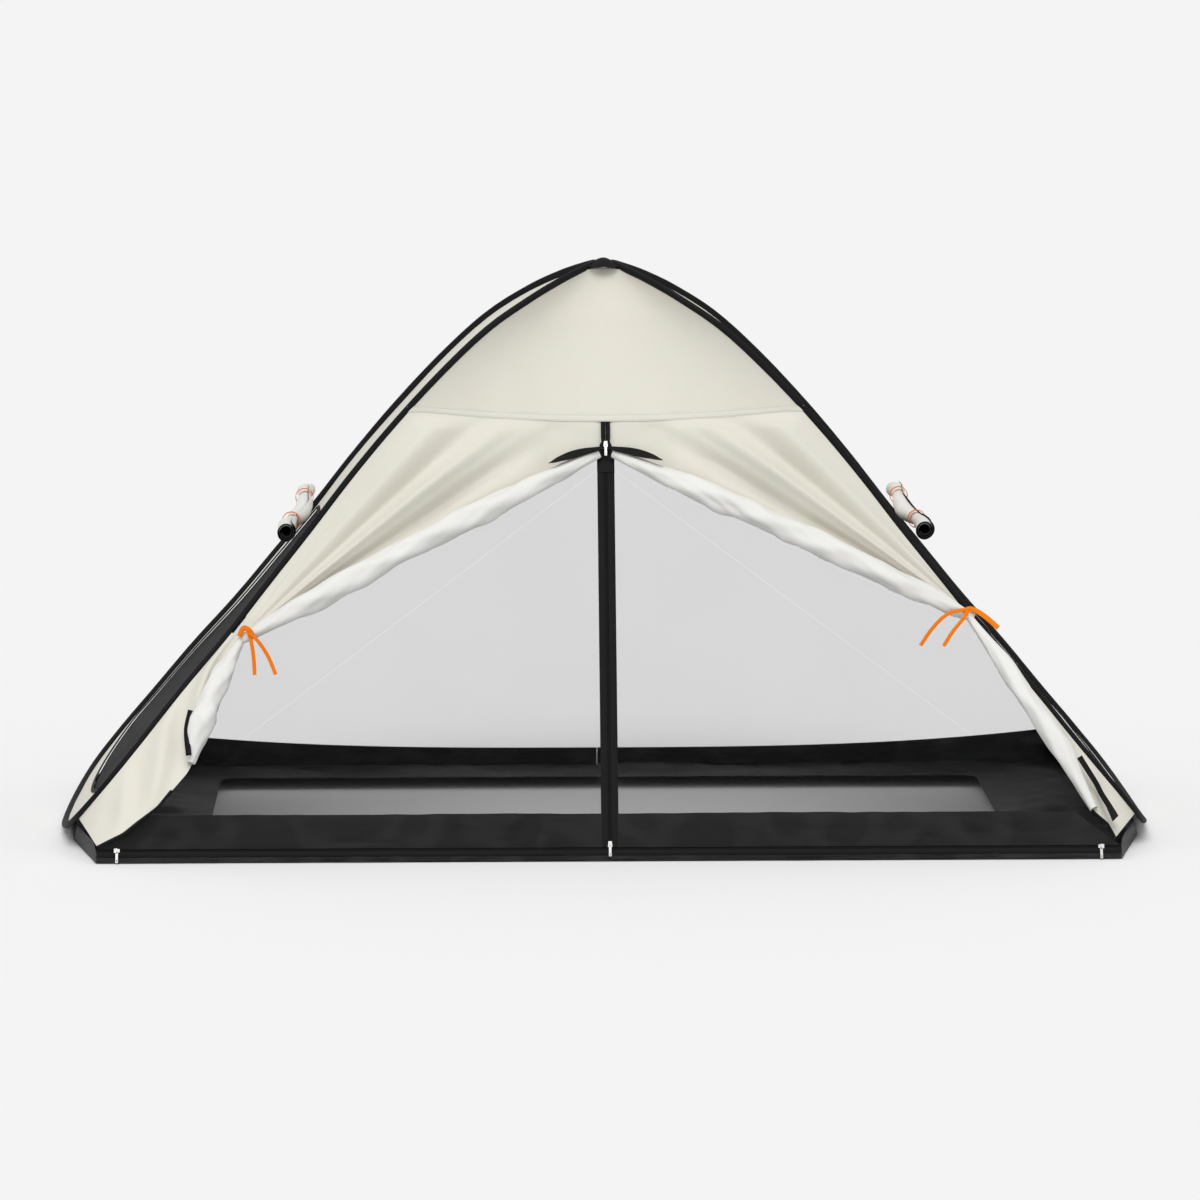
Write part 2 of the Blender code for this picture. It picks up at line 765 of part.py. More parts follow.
def make_back(word, side):
    upper_panel(f"back_upper_panel_{word}", side, -1.0, BACK_SEAM_HEIGHT + SEAT_GAP, 0.0)
    rows = []
    columns = 9
    foot = BACK_SKIRT_HEIGHT + BACK_CORNER_RISE + 0.015
    for height in [*hoop_heights(BACK_SEAM_HEIGHT, foot), 0.0]:
        level = height or foot - 0.010
        edge = mirror_y(leg_edge(level, 0.0, -LAYER_STEP))
        row = [on_side(edge, side)]
        for column in range(1, columns):
            x = blend_between(edge.x, SEAT_GAP, column / (columns - 1))
            level = height or back_edge_height(min(x, CORNER_X)) + SEAT_GAP
            row.append(on_side(Vector((x, wall_depth(x, level), level)), side))
        rows.append(row)
    sheet(f"back_mesh_{word}", rows, "mesh")


# Floor rim: soft lips round the bed opening, with a skirt that stands on the ground
RIM_HEIGHT = TRACK_HEIGHT - 0.011


def rim_outline():
    """Outer edge of the right half of the floor, from the middle of the front to the hoop's foot."""
    points = []
    for share in RIM_SHARES:
        points.append(Vector((CORNER_X * share, -plane_depth(RIM_HEIGHT), 0)))
    foot = leg(0.030)
    end = Vector((foot.x - 0.012, foot.y, 0))
    corner = points[-1]
    points.append(corner.lerp(end, 0.5))
    points.append(end)
    return points


def make_skirt(name, side, facing, height_at):
    """Angle-shaped strip: a standing wall with a foot turned inwards."""
    line = rim_outline()
    line[0] = line[0] + Vector((SEAT_GAP / 2, 0, 0))
    rows = []
    for index, point in enumerate(line):
        before = line[max(index - 1, 0)]
        after = line[min(index + 1, len(line) - 1)]
        along = (after - before).normalized()
        inward = Vector((-along.y, along.x, 0))
        tall = height_at(point.x)
        lean = WALL_SLOPE * max(0.0, tall - RIM_HEIGHT)
        profile = (
            (0.0, 0.0),
            (lean, tall),
            (lean + SKIRT_WALL, tall),
            (SKIRT_WALL, SKIRT_WALL),
            (SKIRT_FOOT, SKIRT_WALL),
            (SKIRT_FOOT, 0.0),
        )
        row = []
        for offset, level in profile:
            spot = point + inward * offset
            row.append(Vector((spot.x * side, facing * spot.y, level)))
        rows.append(row)
    work = bmesh.new()
    rings = [[work.verts.new(point) for point in row] for row in rows]
    for ring in (rings[0], rings[-1]):
        work.faces.new(ring)
    for first, second in zip(rings, rings[1:]):
        for index in range(6):
            follow = (index + 1) % 6
            work.faces.new((first[index], first[follow], second[follow], second[index]))
    bmesh.ops.recalc_face_normals(work, faces=work.faces)
    mesh = bpy.data.meshes.new(name)
    work.to_mesh(mesh)
    work.free()
    add_object(name, mesh, "black")


def make_floor(word, side):
    """Lips round the opening, lofted from the outer edge to the opening's edge."""
    front = rim_outline()
    front[0] = front[0] + Vector((SEAT_GAP / 2, 0, 0))
    inset = SKIRT_WALL + 3 * SEAT_GAP
    bottom = leg(0.012)
    front.append(Vector((bottom.x - 0.012, bottom.y, 0)))
    front.append(Vector((HOOP_REACH - 0.012, 0, 0)))
    outer = []
    for index, point in enumerate(front):
        before = front[max(index - 1, 0)]
        after = front[min(index + 1, len(front) - 1)]
        along = (after - before).normalized()
        outer.append(point + Vector((-along.y, along.x, 0)) * inset)
    outer[-1] = Vector((outer[-1].x, 0, 0))
    far = [mirror_y(point) for point in reversed(outer[:-1])]
    outer = outer + far
    half_x = HOOP_REACH - END_LIP_LENGTH
    half_y = FLOOR_HALF_WIDTH - LIP_DEPTH
    inner = []
    for share in (0.0, 0.25, 0.5, 0.75, 0.95, 1.0):
        inner.append(Vector((max(SEAT_GAP / 2, half_x * share), -half_y, 0)))
    for share in (0.80, 0.60, 0.35, 0.0):
        inner.append(Vector((half_x, -half_y * share, 0)))
    inner = inner + [mirror_y(point) for point in reversed(inner[:-1])]
    shares = (0.0, 0.12, 0.5, 1.0)
    seat = 1.5 * SKIRT_WALL + SEAT_GAP
    levels = (seat, LIP_HEIGHT * 0.9, LIP_HEIGHT, LIP_HEIGHT * 0.85)
    rows = []
    for start, end in zip(outer, inner):
        row = []
        for share, level in zip(shares, levels):
            spot = start.lerp(end, share)
            row.append(on_side(Vector((spot.x, spot.y, level)), side))
        rows.append(row)
    sheet(f"floor_lip_{word}", rows, "black", SKIRT_WALL)


def make_crown():
    """Small cloth cap sewn over both hoops where they meet."""
    top = HOOP[0].z + SLEEVE_RADIUS + SEAT_GAP + CLOTH / 2
    rows = []
    for column in range(7):
        x = CROWN_HALF_X * (column / 3 - 1)
        row = []
        for step in range(7):
            y = CROWN_HALF_Y * (step / 3 - 1)
            drop = 0.002 * (y / CROWN_HALF_Y) ** 2
            row.append(Vector((x, y, top - drop)))
        rows.append(row)
    sheet("crown_patch", rows, "black")


# Zip sliders: two plates joined by a neck, with a bail that carries the puller
def block(work, size, centre):
    shape = bmesh.ops.create_cube(work, size=1.0)
    bmesh.ops.scale(work, verts=shape["verts"], vec=size)
    bmesh.ops.translate(work, verts=shape["verts"], vec=centre)
    return shape["verts"]


def cutter_block(name, size, centre, taper=1.0, turn=0.0):
    """A block whose upper end is narrowed by taper, turned about the origin's Z axis."""
    work = bmesh.new()
    verts = block(work, size, (0, 0, 0))
    for vert in verts:
        if vert.co.y > 0:
            vert.co.x *= taper
    bmesh.ops.translate(work, verts=verts, vec=centre)
    bmesh.ops.rotate(work, verts=verts, cent=(0, 0, 0), matrix=Matrix.Rotation(turn, 3, "Z"))
    mesh = bpy.data.meshes.new(name)
    work.to_mesh(mesh)
    work.free()
    item = add_object(name, mesh, "zinc", CUTTERS)
    item.hide_render = True
    item.display_type = "WIRE"
    return item


def joined(name, base, others, operation="UNION"):
    for index, other in enumerate(others):
        step = base.modifiers.new(f"step{index}", "BOOLEAN")
        step.operation = operation
        step.solver = "EXACT"
        step.object = other
    mesh = as_mesh(base)
    mesh.name = name
    for item in [base, *others]:
        bpy.data.objects.remove(item, do_unlink=True)
    return mesh


PLATE_CENTRE = CHANNEL / 2 + PLATE_THICKNESS / 2
PLATE_FACE = CHANNEL / 2 + PLATE_THICKNESS
PULL_PLANE = PLATE_FACE + BAIL_ROOM / 2


def slider_mesh(turn):
    """Slider whose wide, open end points down the slope, or sideways when its plates are turned."""
    size = (PLATE_WIDTH, PLATE_LENGTH, PLATE_THICKNESS)
    front = cutter_block("front_plate", size, (0, 0, PLATE_CENTRE), 0.74, turn)
    back = cutter_block("back_plate", size, (0, 0, -PLATE_CENTRE), 0.74, turn)
    neck_size = (NECK_WIDTH, NECK_LENGTH, CHANNEL + PLATE_THICKNESS)
    neck = cutter_block("neck", neck_size, (0, NECK_LENGTH / 2 - PLATE_LENGTH / 2, 0), 0.25, turn)
    bar_length = BAIL_FOOT_HIGH - BAIL_FOOT_LOW + BAIL_BAR
    bar_centre = (BAIL_FOOT_HIGH + BAIL_FOOT_LOW) / 2
    bar_height = PLATE_FACE + BAIL_ROOM + BAIL_BAR / 2
    bar = cutter_block("bar", (BAIL_WIDTH, bar_length, BAIL_BAR), (0, bar_centre, bar_height))
    feet = []
    for place in (BAIL_FOOT_LOW, BAIL_FOOT_HIGH):
        tall = BAIL_ROOM + BAIL_BAR + PLATE_THICKNESS / 2
        centre = (0, place, PLATE_FACE + (BAIL_ROOM + BAIL_BAR - PLATE_THICKNESS / 2) / 2)
        feet.append(cutter_block("foot", (BAIL_WIDTH, BAIL_BAR, tall), centre))
    return joined("zip_slider", front, [neck, back, *feet, bar])


def puller_mesh():
    """Puller hanging along -Y, with the middle of its eye's top bar at the origin."""
    half = PULL_WIDTH / 2
    centre_y = EYE_BAR / 2 - PULL_LENGTH / 2
    tab = cutter_block("tab", (PULL_WIDTH, PULL_LENGTH, PULL_THICKNESS), (0, centre_y, 0))
    eye_centre = -EYE_BAR / 2 - EYE_LENGTH / 2
    eye = cutter_block("eye", (EYE_WIDTH, EYE_LENGTH, 4 * PULL_THICKNESS), (0, eye_centre, 0))
    end = -PULL_LENGTH + 0.0042
    hole = cutter_block("hole", (half * 0.7, 0.0034, 4 * PULL_THICKNESS), (0, end, 0))
    return joined("zip_puller", tab, [eye, hole], "DIFFERENCE")


def place_zip(name, mesh, frame):
    item = add_object(name, mesh, "zinc")
    item.matrix_world = frame


def make_zips():
    slider = slider_mesh(0.0)
    puller = puller_mesh()
    eye_shift = Matrix.Translation((0, BAIL_FOOT_LOW + BAIL_BAR / 2 + EYE_BAR, PULL_PLANE))
    middle = door_frame(1.0, 0.0, 0.0, SLIDER_REST)
    place_zip("mesh_slider", slider, middle)
    place_zip("mesh_puller", puller, middle @ eye_shift)
    run = math.hypot(1.0, WALL_SLOPE)
    up = (OUTER_SLIDER_HEIGHT - TRACK_HEIGHT) * run
    outer = door_frame(1.0, OUTER_LAYER / run, 0.0, up)
    place_zip("outer_slider", slider, outer)
    place_zip("outer_puller", puller, outer @ eye_shift)
    for word, side in SIDES.items():
        corner = door_frame(side, 0.0, CORNER_X - CORNER_SLIDER_INSET, 0.0)
        place_zip(f"corner_slider_{word}", slider_mesh(side * math.pi / 2), corner)
        place_zip(f"corner_puller_{word}", puller, corner @ eye_shift)


HOLE = window_cutter("window_hole", 0.0)
PANE = window_cutter("window_pane", SEAT_GAP)
make_crown()
for WORD, SIDE in SIDES.items():
    make_hoop(WORD, SIDE)
    make_end(WORD, SIDE, HOLE, PANE)
    upper_panel(f"front_upper_panel_{WORD}", SIDE, 1.0, SEAM_HEIGHT + SEAT_GAP, OUTER_LAYER)
    make_flap(WORD, SIDE)
    make_lower_flap(WORD, SIDE)
    make_tie(WORD, SIDE)
    make_outer_tape(WORD, SIDE)
    make_leaf(WORD, SIDE)
    make_front_mesh(WORD, SIDE)
    make_back(WORD, SIDE)
    make_skirt(f"front_skirt_{WORD}", SIDE, 1.0, front_edge_height)
    make_skirt(f"back_skirt_{WORD}", SIDE, -1.0, back_edge_height)
    make_floor(WORD, SIDE)
make_zips()
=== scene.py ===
import math
from bisect import bisect

import bmesh
import bpy
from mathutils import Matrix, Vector, noise


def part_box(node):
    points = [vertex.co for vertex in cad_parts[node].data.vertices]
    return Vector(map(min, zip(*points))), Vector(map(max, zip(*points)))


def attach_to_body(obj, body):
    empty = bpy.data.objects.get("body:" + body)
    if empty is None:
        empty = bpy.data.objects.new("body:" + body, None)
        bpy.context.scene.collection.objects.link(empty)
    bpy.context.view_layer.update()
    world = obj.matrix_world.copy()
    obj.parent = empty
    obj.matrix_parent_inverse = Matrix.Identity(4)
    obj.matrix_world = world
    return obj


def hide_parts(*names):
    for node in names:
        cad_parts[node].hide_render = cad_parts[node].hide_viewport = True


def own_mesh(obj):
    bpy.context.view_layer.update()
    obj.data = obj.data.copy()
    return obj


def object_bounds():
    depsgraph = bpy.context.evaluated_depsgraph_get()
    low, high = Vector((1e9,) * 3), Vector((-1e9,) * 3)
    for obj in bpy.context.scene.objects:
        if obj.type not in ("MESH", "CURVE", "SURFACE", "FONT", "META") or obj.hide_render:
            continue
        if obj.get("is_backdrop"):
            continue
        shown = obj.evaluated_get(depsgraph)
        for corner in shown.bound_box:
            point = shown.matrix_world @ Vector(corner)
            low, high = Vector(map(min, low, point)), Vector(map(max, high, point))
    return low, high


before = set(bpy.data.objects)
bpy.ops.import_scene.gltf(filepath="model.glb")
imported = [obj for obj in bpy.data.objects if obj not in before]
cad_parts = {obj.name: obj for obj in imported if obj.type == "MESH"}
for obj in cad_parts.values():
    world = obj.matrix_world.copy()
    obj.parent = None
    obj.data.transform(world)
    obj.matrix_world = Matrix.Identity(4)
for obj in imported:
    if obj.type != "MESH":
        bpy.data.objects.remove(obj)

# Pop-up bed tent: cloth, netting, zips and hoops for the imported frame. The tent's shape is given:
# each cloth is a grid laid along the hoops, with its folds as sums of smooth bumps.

cad_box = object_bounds()

# Studio: a pale seamless floor under a pale sky, one broad soft lamp from above and in front,
# and a long lens that looks slightly down at the door side.
FLOOR_WHITE = (0.880, 0.880, 0.880, 1.0)
BACKDROP_WHITE = (0.868, 0.868, 0.868, 1.0)
SKY_STRENGTH = 0.565
LAMP_STRENGTH = 1.70
LAMP_SPREAD = math.radians(38)
LAMP_FROM = Vector((-0.08, -0.60, 1.0))
LENS = 167.7
CAMERA_PLACE = (-0.293, -10.860, 1.919)
CAMERA_DOWN = 0.1362
CAMERA_TURN = -0.0264

scene = bpy.context.scene
scene.view_settings.view_transform = "Standard"


def feed(node, inputs):
    """Links or sets a node's inputs, each by its name or number."""
    for label, value in dict(inputs).items():
        if isinstance(value, bpy.types.NodeSocket):
            node.id_data.links.new(value, node.inputs[label])
        else:
            node.inputs[label].default_value = value


def add_node(tree, kind, inputs=(), **settings):
    """A new shader node, given its settings and then its inputs."""
    node = tree.nodes.new("ShaderNode" + kind)
    for label, value in settings.items():
        setattr(node, label, value)
    feed(node, inputs)
    return node


def new_material(name, inputs):
    """A material with one shader, and plain values for that shader."""
    material = bpy.data.materials.new(name)
    material.use_nodes = True
    shader = material.node_tree.nodes["Principled BSDF"]
    feed(shader, inputs)
    return material, material.node_tree, shader


def finished(name, work, materials):
    """Turns a bmesh into an object with its materials."""
    mesh = bpy.data.meshes.new(name)
    work.to_mesh(mesh)
    work.free()
    for material in materials:
        mesh.materials.append(material)
    mesh.shade_smooth()
    piece = bpy.data.objects.new(name, mesh)
    scene.collection.objects.link(piece)
    return piece


floor_work = bmesh.new()
bmesh.ops.create_grid(floor_work, x_segments=8, y_segments=8, size=400.0)
floor_paint, _, _ = new_material(
    "studio_floor_white", {"Base Color": FLOOR_WHITE, "Roughness": 0.9, "Specular IOR Level": 0.0}
)
finished("studio_floor", floor_work, [floor_paint])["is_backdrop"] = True

scene.world = bpy.data.worlds.new("studio_sky")
scene.world.use_nodes = True
sky = scene.world.node_tree
sky.nodes.clear()
sky_light = add_node(sky, "Background", {"Color": (1.0, 1.0, 1.0, 1.0), "Strength": SKY_STRENGTH})
sky_seen = add_node(sky, "Background", {"Color": BACKDROP_WHITE, "Strength": 1.0})
sky_mix = add_node(sky, "MixShader", {
    "Fac": add_node(sky, "LightPath").outputs["Is Camera Ray"],
    1: sky_light.outputs["Background"],
    2: sky_seen.outputs["Background"],
})
add_node(sky, "OutputWorld", {"Surface": sky_mix.outputs["Shader"]})

lamp_data = bpy.data.lights.new("softbox", "SUN")
lamp_data.energy = LAMP_STRENGTH
lamp_data.angle = LAMP_SPREAD
lamp = bpy.data.objects.new("softbox", lamp_data)
lamp.rotation_euler = LAMP_FROM.to_track_quat("Z", "Y").to_euler()
scene.collection.objects.link(lamp)

camera_data = bpy.data.cameras.new("long_lens")
camera_data.sensor_width = 36.0
camera_data.lens = LENS
camera_data.clip_end = 2000.0
camera = bpy.data.objects.new("long_lens", camera_data)
camera.location = CAMERA_PLACE
camera.rotation_euler = (math.pi / 2 - CAMERA_DOWN, 0.0, CAMERA_TURN)
scene.collection.objects.link(camera)
scene.camera = camera

# Hoops: each end has one loop of 5 mm sprung steel wire in a sewn black sleeve. The loop runs from
# the crown down both sides of an end to the ground, where a crimped ferrule closes it.
HEIGHT = 1.10
REACH = 1.055
HALF_WIDTH = 0.385
SLEEVE_RADIUS = 0.0055
SLEEVE_SEAM = 0.0055
HOOP_ROUTE = (
    (0.9930, 0.017, 0.000), (0.9850, 0.038, 0.095), (0.9700, 0.075, 0.200), (0.9400, 0.134, 0.325),
    (0.8910, 0.211, 0.405), (0.8180, 0.294, 0.452), (0.7270, 0.383, 0.480), (0.6360, 0.463, 0.505),
    (0.5450, 0.537, 0.545), (0.4550, 0.613, 0.620), (0.3640, 0.690, 0.727), (0.2730, 0.773, 0.852),
    (0.1820, 0.851, 0.958), (0.1090, 0.915, 1.000), (0.0540, 0.963, 0.880), (0.0200, 0.990, 0.520),
    (0.0053, 1.000, 0.000),
)
SIDES = {"left": -1.0, "right": 1.0}


def between(low, high, share):
    return low + (high - low) * share


def value_at(stops, values, place):
    """Value on straight lines through the stops, which rise."""
    for start in range(len(stops) - 1):
        if place <= stops[start + 1] or start == len(stops) - 2:
            share = (place - stops[start]) / (stops[start + 1] - stops[start])
            return between(values[start], values[start + 1], share)


def eased(low, high, place):
    """0 below low, 1 above high, smooth between."""
    share = min(1.0, max(0.0, (place - low) / (high - low)))
    return share * share * (3 - 2 * share)


def bump_at(place, middle, width):
    return math.exp(-((place - middle) / width) ** 2)


def rumple_at(*place):
    """Smooth noise from -1 to 1 at a place."""
    return noise.noise(Vector(place))


def run_along(points):
    """Distance along a line at each of its points."""
    run = [0.0]
    for before, after in zip(points, points[1:]):
        run.append(run[-1] + (after - before).length)
    return run


def even_points(points, count):
    """The line through the points, cut into count equal steps."""
    run = run_along(points)
    return [value_at(run, points, run[-1] * step / count) for step in range(count + 1)]


def smooth_path(points, count, before=None, after=None):
    """A smooth curve through the points, as count equal steps. Ghost points steer both ends."""
    chain = [before or points[0] * 2 - points[1], *points, after or points[-1] * 2 - points[-2]]
    run = run_along(chain)
    fine = []
    for index in range(1, len(chain) - 2):
        low, high = chain[index], chain[index + 1]
        span = run[index + 1] - run[index]
        slope_low = (high - chain[index - 1]) / (run[index + 1] - run[index - 1]) * span
        slope_high = (chain[index + 2] - low) / (run[index + 2] - run[index]) * span
        for step in range(12):
            t = step / 12
            curve = low * (2 * t**3 - 3 * t**2 + 1) + high * (3 * t**2 - 2 * t**3)
            fine.append(curve + slope_low * (t**3 - 2 * t**2 + t) + slope_high * (t**3 - t**2))
    fine.append(points[-1])
    return even_points(fine, count)


def mirror_y(point):
    return Vector((point.x, -point.y, point.z))


def on_side(point, side):
    return Vector((point[0] * side, point[1], point[2]))


route = [Vector((r * REACH, -w * HALF_WIDTH, h * HEIGHT)) for h, r, w in HOOP_ROUTE]
HOOP = smooth_path(route, 120, mirror_y(route[1]), mirror_y(route[-2]))
LEG_POINTS = list(reversed(HOOP))
LEG_HEIGHTS = [point.z for point in LEG_POINTS]


def leg(height):
    """Point of the right hoop's near leg at a height."""
    low = min(len(LEG_HEIGHTS) - 2, max(0, bisect(LEG_HEIGHTS, height) - 1))
    share = (height - LEG_HEIGHTS[low]) / (LEG_HEIGHTS[low + 1] - LEG_HEIGHTS[low])
    return LEG_POINTS[low].lerp(LEG_POINTS[low + 1], share)


def cut_cloth(name, across, down, place, size, materials, facing=None, thickness=0.0009):
    """Cloth from a grid whose points go to place(s, t), with a weave map in metres.

    facing is the side that shows. Cloth that closes on itself is welded and turned outwards."""
    work = bmesh.new()
    weave = work.loops.layers.uv.new("weave")
    bmesh.ops.create_grid(work, x_segments=across, y_segments=down, size=0.5)
    for face in work.faces:
        for corner in face.loops:
            spot = corner.vert.co
            corner[weave].uv = ((spot.x + 0.5) * size[0], (0.5 - spot.y) * size[1])
    for vert in work.verts:
        vert.co = place(vert.co.x + 0.5, 0.5 - vert.co.y)
    bmesh.ops.remove_doubles(work, verts=work.verts, dist=0.00001)
    for edge in work.edges:
        edge.smooth = not edge.is_boundary
    work.normal_update()
    if facing is None:
        bmesh.ops.recalc_face_normals(work, faces=work.faces)
    elif sum(face.normal.dot(facing) * face.calc_area() for face in work.faces) < 0:
        bmesh.ops.reverse_faces(work, faces=work.faces)
    piece = finished(name, work, materials)
    if thickness:
        wall = piece.modifiers.new("cloth", "SOLIDIFY")
        wall.thickness = thickness
        wall.offset = -1.0
        wall.use_rim = True
        if len(materials) > 1:
            wall.material_offset = 1
    return piece


def along_at(points, index):
    """Direction of a line at one of its points."""
    return (points[min(index + 1, len(points) - 1)] - points[max(index - 1, 0)]).normalized()


def framed(points, toward, closed=False):
    """Each point of a line with a direction, given or found from the point, and one across."""
    frames = []
    last = len(points) - 1
    for index, point in enumerate(points):
        along = along_at(points, index)
        if closed and index in (0, last):
            along = (points[1] - points[last - 1]).normalized()
        aim = toward(point) if callable(toward) else toward
        aim = (aim - along * aim.dot(along)).normalized()
        frames.append((point, aim, along.cross(aim)))
    return frames


def swept(name, frames, section, around, size, materials, thickness=0.0):
    """A tube along framed points. section(turn, t) gives its two offsets at a share of a turn."""

    def place(s, t):
        point, first, second = frames[round(t * (len(frames) - 1))]
        a, b = section(s, t)
        return point + first * a + second * b

    return cut_cloth(name, around, len(frames) - 1, place, size, materials, None, thickness)


def oval(first, second):
    """Section of a tube with two unlike half widths."""

    def section(turn, t):
        return first * math.cos(2 * math.pi * turn), second * math.sin(2 * math.pi * turn)

    return section


def new_group(name, inputs, outputs):
    """An empty shader group: each input's name and first value, each output's name and kind."""
    group = bpy.data.node_groups.new(name, "ShaderNodeTree")
    for label, value in inputs.items():
        kind = "NodeSocketColor" if isinstance(value, tuple) else "NodeSocketFloat"
        group.interface.new_socket(label, in_out="INPUT", socket_type=kind).default_value = value
    for label, kind in outputs.items():
        group.interface.new_socket(label, in_out="OUTPUT", socket_type="NodeSocket" + kind)
    return group, group.nodes.new("NodeGroupInput").outputs, group.nodes.new("NodeGroupOutput")


def maths(operation, *values, clamp=False):
    """Output of a Math node in the tree of the sockets that feed it."""
    tree = next(value.id_data for value in values if isinstance(value, bpy.types.NodeSocket))
    return add_node(tree, "Math", enumerate(values), operation=operation, use_clamp=clamp).outputs["Value"]


def speckle(vector, scale, detail=3.0, rough=0.5, kind="FBM"):
    """Output of a Noise node that is read at a vector socket."""
    inputs = {"Detail": detail, "Roughness": rough, "Scale": scale, "Vector": vector}
    settings = {"noise_type": kind, "normalize": kind == "FBM"}
    return add_node(vector.id_data, "TexNoise", inputs, **settings).outputs["Fac"]


def mix_colour(share, first, second):
    inputs = {"Factor": share, "A": first, "B": second}
    return add_node(share.id_data, "Mix", inputs, data_type="RGBA").outputs["Result"]


def object_place(tree):
    return add_node(tree, "TexCoord").outputs["Object"]


def weave_place(tree):
    return add_node(tree, "UVMap", uv_map="weave").outputs["UV"]


def axes_of(place):
    return add_node(place.id_data, "SeparateXYZ", {"Vector": place}).outputs


def raise_surface(shader, height, strength, distance):
    """Lifts a shader's surface by a socket of heights."""
    relief = add_node(
        shader.id_data, "Bump", {"Strength": strength, "Distance": distance, "Height": height}
    )
    feed(shader, {"Normal": relief.outputs["Normal"]})


# A plain weave: threads cross over and under, with slubs and soft creases. Thin lines along the creases are
# painted in the second colour: painted highlights where that colour is lighter, painted shade where it is
# darker.
cloth_group, cloth_in, cloth_out = new_group(
    "plain_weave",
    {
        "Colour": (0.5, 0.5, 0.5, 1.0), "Shade": (0.4, 0.4, 0.4, 1.0), "Thread": 0.0006,
        "Crease": 0.4, "Crease scale": 9.0, "Roughness": 0.7,
    },
    {"Colour": "Color", "Roughness": "Float", "Height": "Float"},
)
cloth_map = weave_place(cloth_group)
cloth_axes = axes_of(cloth_map)
cloth_space = object_place(cloth_group)
turns = maths("DIVIDE", math.pi, cloth_in["Thread"])
warp = maths("SINE", maths("MULTIPLY", cloth_axes["X"], turns))
weft = maths("SINE", maths("MULTIPLY", cloth_axes["Y"], turns))
thread_height = maths("MULTIPLY", maths("MULTIPLY", warp, weft), 0.05)
creases = speckle(cloth_space, cloth_in["Crease scale"], 5.0, 0.55, "RIDGED_MULTIFRACTAL")
crease_height = maths("MULTIPLY", creases, cloth_in["Crease"])
# Painted crease light: narrow lines where the crease noise is near zero, mixed towards the second colour as
# painted highlight or painted shade.
crease_light_mask = maths("SUBTRACT", 1.0, maths("MULTIPLY", creases, 16.0), clamp=True)
painted_crease_light = maths("MULTIPLY", crease_light_mask, maths("MULTIPLY", cloth_in["Crease"], 0.60))
clouds = maths("MULTIPLY", speckle(cloth_space, 3.1, 4.0), 2.2)
slubs = speckle(cloth_map, 420.0, 2.0)
cloud_tone = maths("ADD", maths("SUBTRACT", clouds, 0.6, clamp=True), maths("MULTIPLY", slubs, 0.25))
tone = maths("ADD", maths("MULTIPLY", cloud_tone, 0.5, clamp=True), painted_crease_light, clamp=True)
slub_rough = maths("MULTIPLY_ADD", slubs, 0.16, -0.08)
feed(cloth_out, {
    "Colour": mix_colour(tone, cloth_in["Colour"], cloth_in["Shade"]),
    "Roughness": maths("ADD", slub_rough, cloth_in["Roughness"], clamp=True),
    "Height": maths("ADD", crease_height, thread_height),
})


def woven_material(
    name, colour, shade, thread, crease, crease_scale, roughness, bump, sheen=0.0, gloss=0.3, depth=0.004
):
    """Cloth of the shared weave with its own colours and creases."""
    material, tree, shader = new_material(name, {"Specular IOR Level": gloss, "Sheen Weight": sheen})
    look = {
        "Colour": (*colour, 1.0), "Shade": (*shade, 1.0), "Thread": thread,
        "Crease": crease, "Crease scale": crease_scale, "Roughness": roughness,
    }
    weave = add_node(tree, "Group", look, node_tree=cloth_group).outputs
    raise_surface(shader, weave["Height"], bump, depth)
    feed(shader, {"Base Color": weave["Colour"], "Roughness": weave["Roughness"]})
    return material


def marked_metal(name, scale, light, dark, rough_span, rough_least):
    """Bare metal with fine marks that change its tone and its gloss."""
    metal, tree, shader = new_material(name, {"Metallic": 1.0})
    marks = speckle(object_place(tree), scale)
    roughness = maths("MULTIPLY_ADD", marks, rough_span, rough_least)
    feed(shader, {"Base Color": mix_colour(marks, light, dark), "Roughness": roughness})
    return metal


binding_cloth = woven_material(
    "black_binding", (0.005, 0.005, 0.0054), (0.010, 0.010, 0.011), 0.0009, 0.20, 60.0, 0.60, 0.20, 0.0, 0.13
)
spring_steel = marked_metal(
    "blued_spring_steel", 240.0, (0.46, 0.46, 0.47, 1.0), (0.30, 0.30, 0.32, 1.0), 0.25, 0.22
)


def attach(piece, body, slot, *nodes):
    """The piece rides on a body and may stand for solids, whose parts it hides; slot is not used."""
    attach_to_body(piece, body)
    if nodes:
        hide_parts(*nodes)


def sew_to_frame(piece, word, slot, *nodes):
    """The piece rides on its end's hoop, with a mesh of its own."""
    attach(piece, f"{word}_frame", slot, *nodes)
    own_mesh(piece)


def refinish(node, material):
    """Gives one of the frame's own solids its finish."""
    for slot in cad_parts[node].material_slots:
        slot.material = material


for word, side in SIDES.items():
    loop = [on_side(point, side) for point in LEG_POINTS + [mirror_y(point) for point in HOOP[1:]]]
    middle = Vector((side * 0.60, 0.0, 0.50))
    frames = framed(loop, lambda point: middle - point, closed=True)

    def sleeve_section(turn, t):
        angle = 2 * math.pi * turn
        radius = SLEEVE_RADIUS + 0.0006 - 0.0005 * math.cos(2 * math.pi * t)
        radius += 0.0002 * rumple_at(turn * 3.0, t * 260.0, 1.0)
        seam = SLEEVE_SEAM * max(0.0, math.cos(angle)) ** 4
        return math.cos(angle) * (radius + seam), math.sin(angle) * radius

    sleeve = swept(f"sleeve_{word}_cloth", frames, sleeve_section, 16, (0.040, 3.4), [binding_cloth])
    attach(sleeve, f"{word}_frame", "sleeve", f"hoop_sleeve_{word}")
    refinish(f"hoop_wire_{word}", spring_steel)
    refinish(f"hoop_ferrule_{word}", spring_steel)

# Crown: a small patch of doubled black cloth sewn over both hoops where they cross, so that the
# wires stay side by side and can turn.
CROWN_HALF = (0.030, 0.037)
CROWN_TOP = 1.1020


